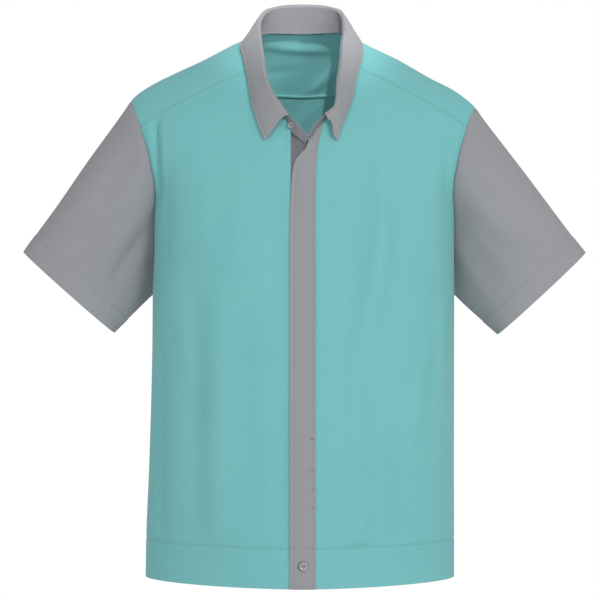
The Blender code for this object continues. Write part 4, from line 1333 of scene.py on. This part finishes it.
def fall_line(neck, fold, edge, way):
    """One line of the fall, from inside the fold over it and down to the edge."""
    up = (fold - neck).normalized()
    top = COLLAR_CLOTH + FOLD_GAP
    length = (edge - fold).length
    shares = [(1.0 - FALL_ROWS_END / length) * (i / FALL_ROWS) ** FALL_ROW_POWER
              for i in range(FALL_ROWS + 1)]
    shares += [1.0 - d / length for d in FALL_EDGE_ROWS]
    line = [fold - up * FOLD_DOWN - way * FOLD_IN, fold + up * (top * 0.45) - way * FOLD_IN,
            fold + up * (top * 0.95) - way * 0.0010]
    for t in shares:
        swell = way * (ROLL_SWELL * (1.0 - t) ** 2 + FALL_BOW * math.sin(math.pi * t))
        line.append(fold.lerp(edge, t) + up * top * (1.0 - t) + swell)
    return line


def fall_grid():
    places = round_neck(LEAF_END, LEAF_END)
    pairs = neck_pairs(places)
    ways = Grid(zip(*pairs)).normals()[1]
    lines = []
    for (side, at), (neck, fold), way in zip(places, pairs, map(Vector, ways)):
        lift = SHOULDER_LIFT * math.exp(-((at - SHOULDER_STATION) / SHOULDER_SPREAD) ** 2)
        lines.append(fall_line(neck, fold, fall_edge(side, at) + way * lift, way))
    grid = Grid(list(zip(*lines))[::-1])
    # the leaves' front edges curve between fold and tip
    up = grid.away("low")
    share = 1.0 - np.clip(up / up[-4, :], 0.0, 1.0)
    along = np.gradient(grid.points, axis=1)
    along /= np.linalg.norm(along, axis=2, keepdims=True)
    for side, border in (("left", "first"), ("right", "last")):
        near = np.clip(1.0 - grid.away(border) / LEAF_REACH, 0.0, 1.0) ** 1.5
        amount = np.vectorize(column(LEAF_EDGES, side))(share) * near * SIDES[side]
        grid.points = grid.points + along * amount[:, :, None]
    for border in ("low", "first", "last"):
        grid.groove(border, COLLAR_STITCH, *FALL_GROOVE)
    return grid


# ---------------------------------------------------------------- buttons
RIM = ((0.0, 0.00125), (0.42, 0.00125), (0.60, 0.00150), (0.74, 0.00205), (0.86, 0.00220),
       (0.95, 0.00200), (1.0, 0.00150), (1.0, 0.00080), (0.95, 0.00030), (0.84, 0.0), (0.0, 0.0))
HOLE_SPREAD = 0.27        # of the button's radius: how far out its holes lie, and their own radius
HOLE_SIZE = 0.13
THREAD_HEIGHT = 0.00128
THREAD_APART = 0.00022
OUT = Vector((0.0, -1.0, 0.0))


def mesh_of(name, shape):
    mesh = bpy.data.meshes.new(name)
    shape.to_mesh(mesh)
    shape.free()
    return mesh


def button(name, centre, way, diameter, finish, thread):
    """Four-hole button: a rounded rim, a dished middle, holes cut through, and its thread."""
    radius = diameter / 2.0
    shape = bmesh.new()
    verts = [shape.verts.new((share * radius, 0.0, height)) for share, height in RIM]
    edges = [shape.edges.new(ends) for ends in zip(verts, verts[1:])]
    bmesh.ops.spin(shape, geom=verts + edges, cent=(0, 0, 0), axis=(0, 0, 1), angle=math.tau, steps=56)
    bmesh.ops.remove_doubles(shape, verts=shape.verts, dist=0.00001)
    bmesh.ops.recalc_face_normals(shape, faces=shape.faces)
    thing = add(name, mesh_of(name, shape))
    thing.data.materials.append(finish)
    turns = [math.radians(45.0 + 90.0 * k) for k in range(4)]
    spots = [Vector((math.cos(turn), math.sin(turn), 0.0)) * radius * HOLE_SPREAD for turn in turns]
    drills = bmesh.new()
    for spot in spots:
        made = bmesh.ops.create_cone(drills, cap_ends=True, segments=16, radius1=radius * HOLE_SIZE,
                                     radius2=radius * HOLE_SIZE, depth=0.01)
        bmesh.ops.translate(drills, verts=made["verts"], vec=spot)
    drill = add(name + "_drills", mesh_of(name + "_drills", drills))
    cut = thing.modifiers.new("holes", "BOOLEAN")
    cut.object = drill
    cut.operation = "DIFFERENCE"
    drilled = thing.evaluated_get(bpy.context.evaluated_depsgraph_get())
    mesh = bpy.data.meshes.new_from_object(drilled)
    thing.modifiers.clear()
    thing.data = mesh
    bpy.data.objects.remove(drill, do_unlink=True)
    mesh.shade_smooth()
    mesh.set_sharp_from_angle(angle=math.radians(35.0))
    rotation = way.to_track_quat("Z", "Y")
    thing.location = centre
    thing.rotation_mode = "QUATERNION"
    thing.rotation_quaternion = rotation
    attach(thing, "root")
    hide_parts(name)
    # two bars of thread, three strands each
    up = Vector((0.0, 0.0, 1.0))
    places = []
    for start, end in (spots[:2], spots[2:]):
        along = (end - start).normalized()
        for shift in (-THREAD_APART, 0.0, THREAD_APART):
            middle = (start + end) / 2.0 + up * THREAD_HEIGHT + up.cross(along) * shift
            places.append((centre + rotation @ middle, rotation @ along, way,
                           (end - start).length + 0.0005))
    stitches(name + "_thread", places, thread)


def stand_button_place():
    """Centre and direction of the stand's button, as in the solids."""
    low, high = map(Vector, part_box("stand_button"))
    at = STATION_COUNT["right"] - len(STAND_ENDS["right"])
    first, second = stand_pair("right", at), stand_pair("right", at + 1)
    way = (first[0] - second[0]).cross(first[1] - first[0]).normalized()
    if way.y > 0.0:
        way = -way
    return (low + high) / 2.0 - way * BUTTON_THICK / 2.0, way


# ---------------------------------------------------------------- stitches and seams
def shifted(line, distance):
    """A line moved out along its normals."""
    return [(p + n * distance, n) for p, n in line]


def inner_stitches(grid, border, distance, thickness):
    """Stitches that show on a piece's inner face."""
    run = stitch_run(shifted(grid.line(border, distance), -thickness))
    return [(p, along, -out, size) for p, along, out, size in run]


def body_stitches(grids):
    lines = []
    for side in SIDES:
        front = grids["front_" + side]
        lines += [(front, "high", EDGE_STITCH), (front, ARM_BORDER[side], EDGE_STITCH + 0.004),
                  (grids["band_front_" + side], "high", EDGE_STITCH)]
    for name, border in (("yoke", "low"), ("yoke", "high"), ("band_back", "high")):
        lines.append((grids[name], border, EDGE_STITCH))
    places = []
    for grid, border, distance in lines:
        places += stitch_run(grid.line(border, distance))
    return places + inner_stitches(grids["yoke"], "low", EDGE_STITCH, FABRIC)


def trim_stitches(grids):
    places = []
    for side in SIDES:
        places += stitch_run(grids["sleeve_" + side].line("low", SLEEVE_HEM), closed=True)
    for name, border, distance in (
            ("placket", "first", FLY_STITCH_LEFT), ("placket", "last", FLY_STITCH_RIGHT),
            ("band_tab", "first", FLY_STITCH_LEFT), ("band_tab", "last", FLY_STITCH_RIGHT),
            ("band_tab", "low", TAB_STITCH)):
        places += stitch_run(shifted(grids[name].line(border, distance), FLY_OUT))
    for border in ("low", "first", "last"):
        places += stitch_run(grids["collar_fall"].line(border, COLLAR_STITCH), skip=COLLAR_STITCH)
    stand = grids["collar_stand"]
    places += stitch_run(stand.line("low", STAND_STITCH_LOW))
    for border, distance in (("low", STAND_STITCH_LOW), ("high", STAND_STITCH_HIGH)):
        places += inner_stitches(stand, border, distance, STAND_CLOTH)
    return places + tab_buttonhole() + stand_buttonhole() + fly_bars()


def on_fly(x, z):
    return front_point(x, z) + OUT * FLY_OUT


def tab_buttonhole():
    """The upright buttonhole of the band tab, and the arc that shows round its button."""
    places = []
    for aside in (-HOLE_ASIDE, HOLE_ASIDE):
        run = [(on_fly(BAND_BUTTON_X + aside, BAND_BUTTON_Z + TAB_HOLE * (i / 8 - 0.5)), OUT)
               for i in range(9)]
        places += stitch_run(run, pitch=0.00062, length=0.0017, across=True)
    hole = on_fly(BAND_BUTTON_X - HOLE_ASIDE, BAND_BUTTON_Z)
    turns = [math.radians(100.0 + 155.0 * i / 12) for i in range(13)]
    for radius in ARC_RADII:
        run = [(hole + Vector((math.cos(turn), 0.0, math.sin(turn))) * radius, OUT) for turn in turns]
        places += stitch_run(run, pitch=0.0007, length=0.0011)
    return places


def stand_buttonhole():
    centre, way = stand_button_place()
    first, second = (stand_pair("right", STATION_COUNT["right"] - i)[1] for i in (3, 2))
    along = (second - first).normalized()
    places = []
    for aside in (-0.0011, 0.0011):
        start = centre + along * 0.0048 + way.cross(along) * aside
        run = [(start + along * 0.0010 * i, way) for i in range(9)]
        places += stitch_run(run, pitch=0.0008, length=0.0012)
    return places


def fly_bars():
    """The bars that tack the fly's layers together."""
    places = []
    for z in BAR_HEIGHTS:
        run = [(on_fly(FLY_RIGHT(z) - 0.0062 + i * 0.0012, z), OUT) for i in range(5)]
        places += stitch_run(run, pitch=0.0006, length=0.0016, across=True)
    return places


def seam_lines(grid_a, border_a, grid_b, border_b, reach=ALLOWANCE):
    """Lines of a ribbon over the seam of two grids, from inside one to inside the other."""
    steps = (reach, reach * 0.4, min(reach * 0.2, 0.0008))
    lines = [grid_a.line(border_a, d) for d in steps]
    lines += [grid_b.line(border_b, d) for d in reversed(steps)]
    count = min(len(line) for line in lines)
    return [[line[int(round(i * (len(line) - 1) / (count - 1)))] for i in range(count)]
            for line in lines]


def allowance(name, lines, finish):
    """Felled seam allowance: a narrow ribbon that lies over a seam on the inside."""
    rows = [[p - n * (FABRIC + ALLOWANCE_DROP) for p, n in line] for line in lines]
    shell(name, Grid(rows), finish, (), thickness=ALLOWANCE_CLOTH)


def seam_allowances(grids, finish):
    back = grids["back"]
    allowance("yoke_back_seam", seam_lines(back, "high", grids["yoke"], "low", reach=YOKE_ALLOWANCE), finish)
    for side in SIDES:
        front = grids["front_" + side]
        band = grids["band_front_" + side]
        allowance("band_%s_seam" % side, seam_lines(band, "high", front, "low"), finish)
        pair = [(front, "last"), (back, "first")]
        if side == "right":
            pair = [(back, "last"), (front, "first")]
        lines = [[place for place in line if place[0].z < UNDERARM]
                 for line in seam_lines(*pair[0], *pair[1])]
        allowance("side_%s_seam" % side, list(zip(*lines)), finish)
    allowance("band_back_seam", seam_lines(grids["band_back"], "high", back, "low"), finish)


# ---------------------------------------------------------------- the shirt
def make_shirt():
    teal = cloth_material("teal shirting", (0.194, 0.516, 0.515), (0.142, 0.421, 0.433))
    grey = cloth_material("grey shirting", (0.321, 0.327, 0.343), (0.244, 0.250, 0.269))
    teal_thread = thread_material("teal thread", (0.085, 0.300, 0.300))
    # the collar stand is the grey shirting darkened by about a quarter: painted shade
    shade = cloth_material("grey stand with painted shade", (0.245, 0.250, 0.266), (0.183, 0.188, 0.206))
    grey_thread = thread_material("grey thread", (0.215, 0.220, 0.240))
    horn = button_material("grey button", (0.330, 0.334, 0.350))
    # the under placket is the grey shirting darkened by nearly half: painted shade for the shadow inside the
    # V of the neck
    under_placket_painted_shade = cloth_material("grey under placket with painted shade", (0.178, 0.184, 0.202), (0.132, 0.138, 0.155))
    grids = {}

    def cover(name, node_name, grid, finish, thickness=FABRIC, lift=0.0):
        """Covers one solid with its cloth."""
        grids[node_name] = grid
        shell(name + "_cloth", grid, finish, (node_name,), thickness, lift)

    cover("back", "back", back_grid(), teal)
    cover("yoke", "yoke", yoke_grid(), teal)
    for side in SIDES:
        cover("front_" + side, "front_" + side, front_grid(side), teal)
    for side in SIDES:
        cover("band_" + side, "band_front_" + side, band_grid(side), teal, BAND_CLOTH)
    cover("band_back", "band_back", back_band_grid(), teal, BAND_CLOTH)
    cover("under_placket", "under_placket", under_grid(), under_placket_painted_shade)
    cover("placket", "placket", fly_grid(), grey, FLY_CLOTH, FLY_OUT)
    cover("band_tab", "band_tab", tab_grid(), grey, FLY_CLOTH, FLY_OUT)
    for side in SIDES:
        sleeve = sleeve_grid(side)
        fit_to(sleeve, [grids[name].points[:, end] for name in ("front_" + side, "yoke", "back")
                        for end in (0, -1)])
        cover("sleeve_" + side, "sleeve_" + side, sleeve, grey)
    cover("collar_stand", "collar_stand", stand_grid(), shade, STAND_CLOTH)
    cover("collar_fall", "collar_fall", fall_grid(), grey, FALL_CLOTH)
    stitches("body_stitches", body_stitches(grids), teal_thread)
    stitches("trim_stitches", trim_stitches(grids), grey_thread)
    seam_allowances(grids, teal)
    low = front_point(BAND_BUTTON_X, BAND_BUTTON_Z) + OUT * (FLY_OUT + GAP)
    button("band_button", low, OUT, BAND_BUTTON, horn, grey_thread)
    button("stand_button", *stand_button_place(), STAND_BUTTON, horn, grey_thread)


# ---------------------------------------------------------------- stage
def place_lamp(lamp, aim, turn, lift, distance):
    """Hangs a lamp round from the camera's side, aimed at a point."""
    thing = add(lamp.name, lamp)
    turn, lift = math.radians(turn), math.radians(lift)
    way = Vector((math.sin(turn) * math.cos(lift), -math.cos(turn) * math.cos(lift), math.sin(lift)))
    thing.location = aim + way * distance
    thing.rotation_mode = "QUATERNION"
    thing.rotation_quaternion = way.to_track_quat("Z", "Y")


def make_floor():
    shape = bmesh.new()
    bmesh.ops.create_circle(shape, cap_ends=True, segments=96, radius=FLOOR_RADIUS)
    floor = add("floor", mesh_of("floor", shape))
    floor.location = FLOOR_PLACE
    floor.data.materials.append(new_finish("pale floor", {
        "Base Color": (0.86, 0.86, 0.86, 1.0), "Roughness": 0.9})[0])


def make_lights():
    """A white room, soft boxes, and a beam into the collar."""
    world = bpy.data.worlds.new("white room")
    bpy.context.scene.world = world
    world.use_nodes = True
    tree = world.node_tree
    seen = node(tree, "LightPath", output="Is Camera Ray")
    strength = combined(tree, "ADD", combined(tree, "MULTIPLY", seen, 1.0 - ROOM_LIGHT), ROOM_LIGHT)
    feed(tree, tree.nodes["Background"], {"Color": (1.0, 1.0, 1.0, 1.0), "Strength": strength})
    for name, turn, lift, distance, size, power in LAMPS:
        lamp = bpy.data.lights.new(name, "AREA")
        lamp.shape = "DISK"
        lamp.size = size
        lamp.energy = power
        place_lamp(lamp, Vector((0.0, MID_Y, VIEW_HEIGHT)), turn, lift, distance)
    turn, lift, distance, width, power = NECK_BEAM
    beam = bpy.data.lights.new("neck", "SPOT")
    beam.spot_size = math.radians(width)
    beam.spot_blend = 1.0
    beam.shadow_soft_size = BEAM_SOFTNESS
    beam.energy = power
    place_lamp(beam, Vector(NECK_AIM), turn, lift, distance)


def make_camera():
    camera = bpy.data.cameras.new("camera")
    camera.sensor_width = 36.0
    camera.lens = camera.sensor_width * CAMERA_DISTANCE / CAMERA_SPAN
    camera.shift_x = CAMERA_SHIFT
    seat = add("camera", camera)
    seat.location = (0.0, MID_Y - CAMERA_DISTANCE, VIEW_HEIGHT)
    seat.rotation_euler = (math.radians(90.0), 0.0, 0.0)
    bpy.context.scene.camera = seat
    bpy.context.scene.view_settings.view_transform = "Standard"


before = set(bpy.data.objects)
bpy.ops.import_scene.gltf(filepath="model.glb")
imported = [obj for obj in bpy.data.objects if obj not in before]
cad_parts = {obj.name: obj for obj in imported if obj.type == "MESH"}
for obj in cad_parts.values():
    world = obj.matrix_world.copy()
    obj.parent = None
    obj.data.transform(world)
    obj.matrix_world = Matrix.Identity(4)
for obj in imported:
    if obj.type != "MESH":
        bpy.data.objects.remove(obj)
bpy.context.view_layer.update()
make_shirt()
make_floor()
make_lights()
make_camera()
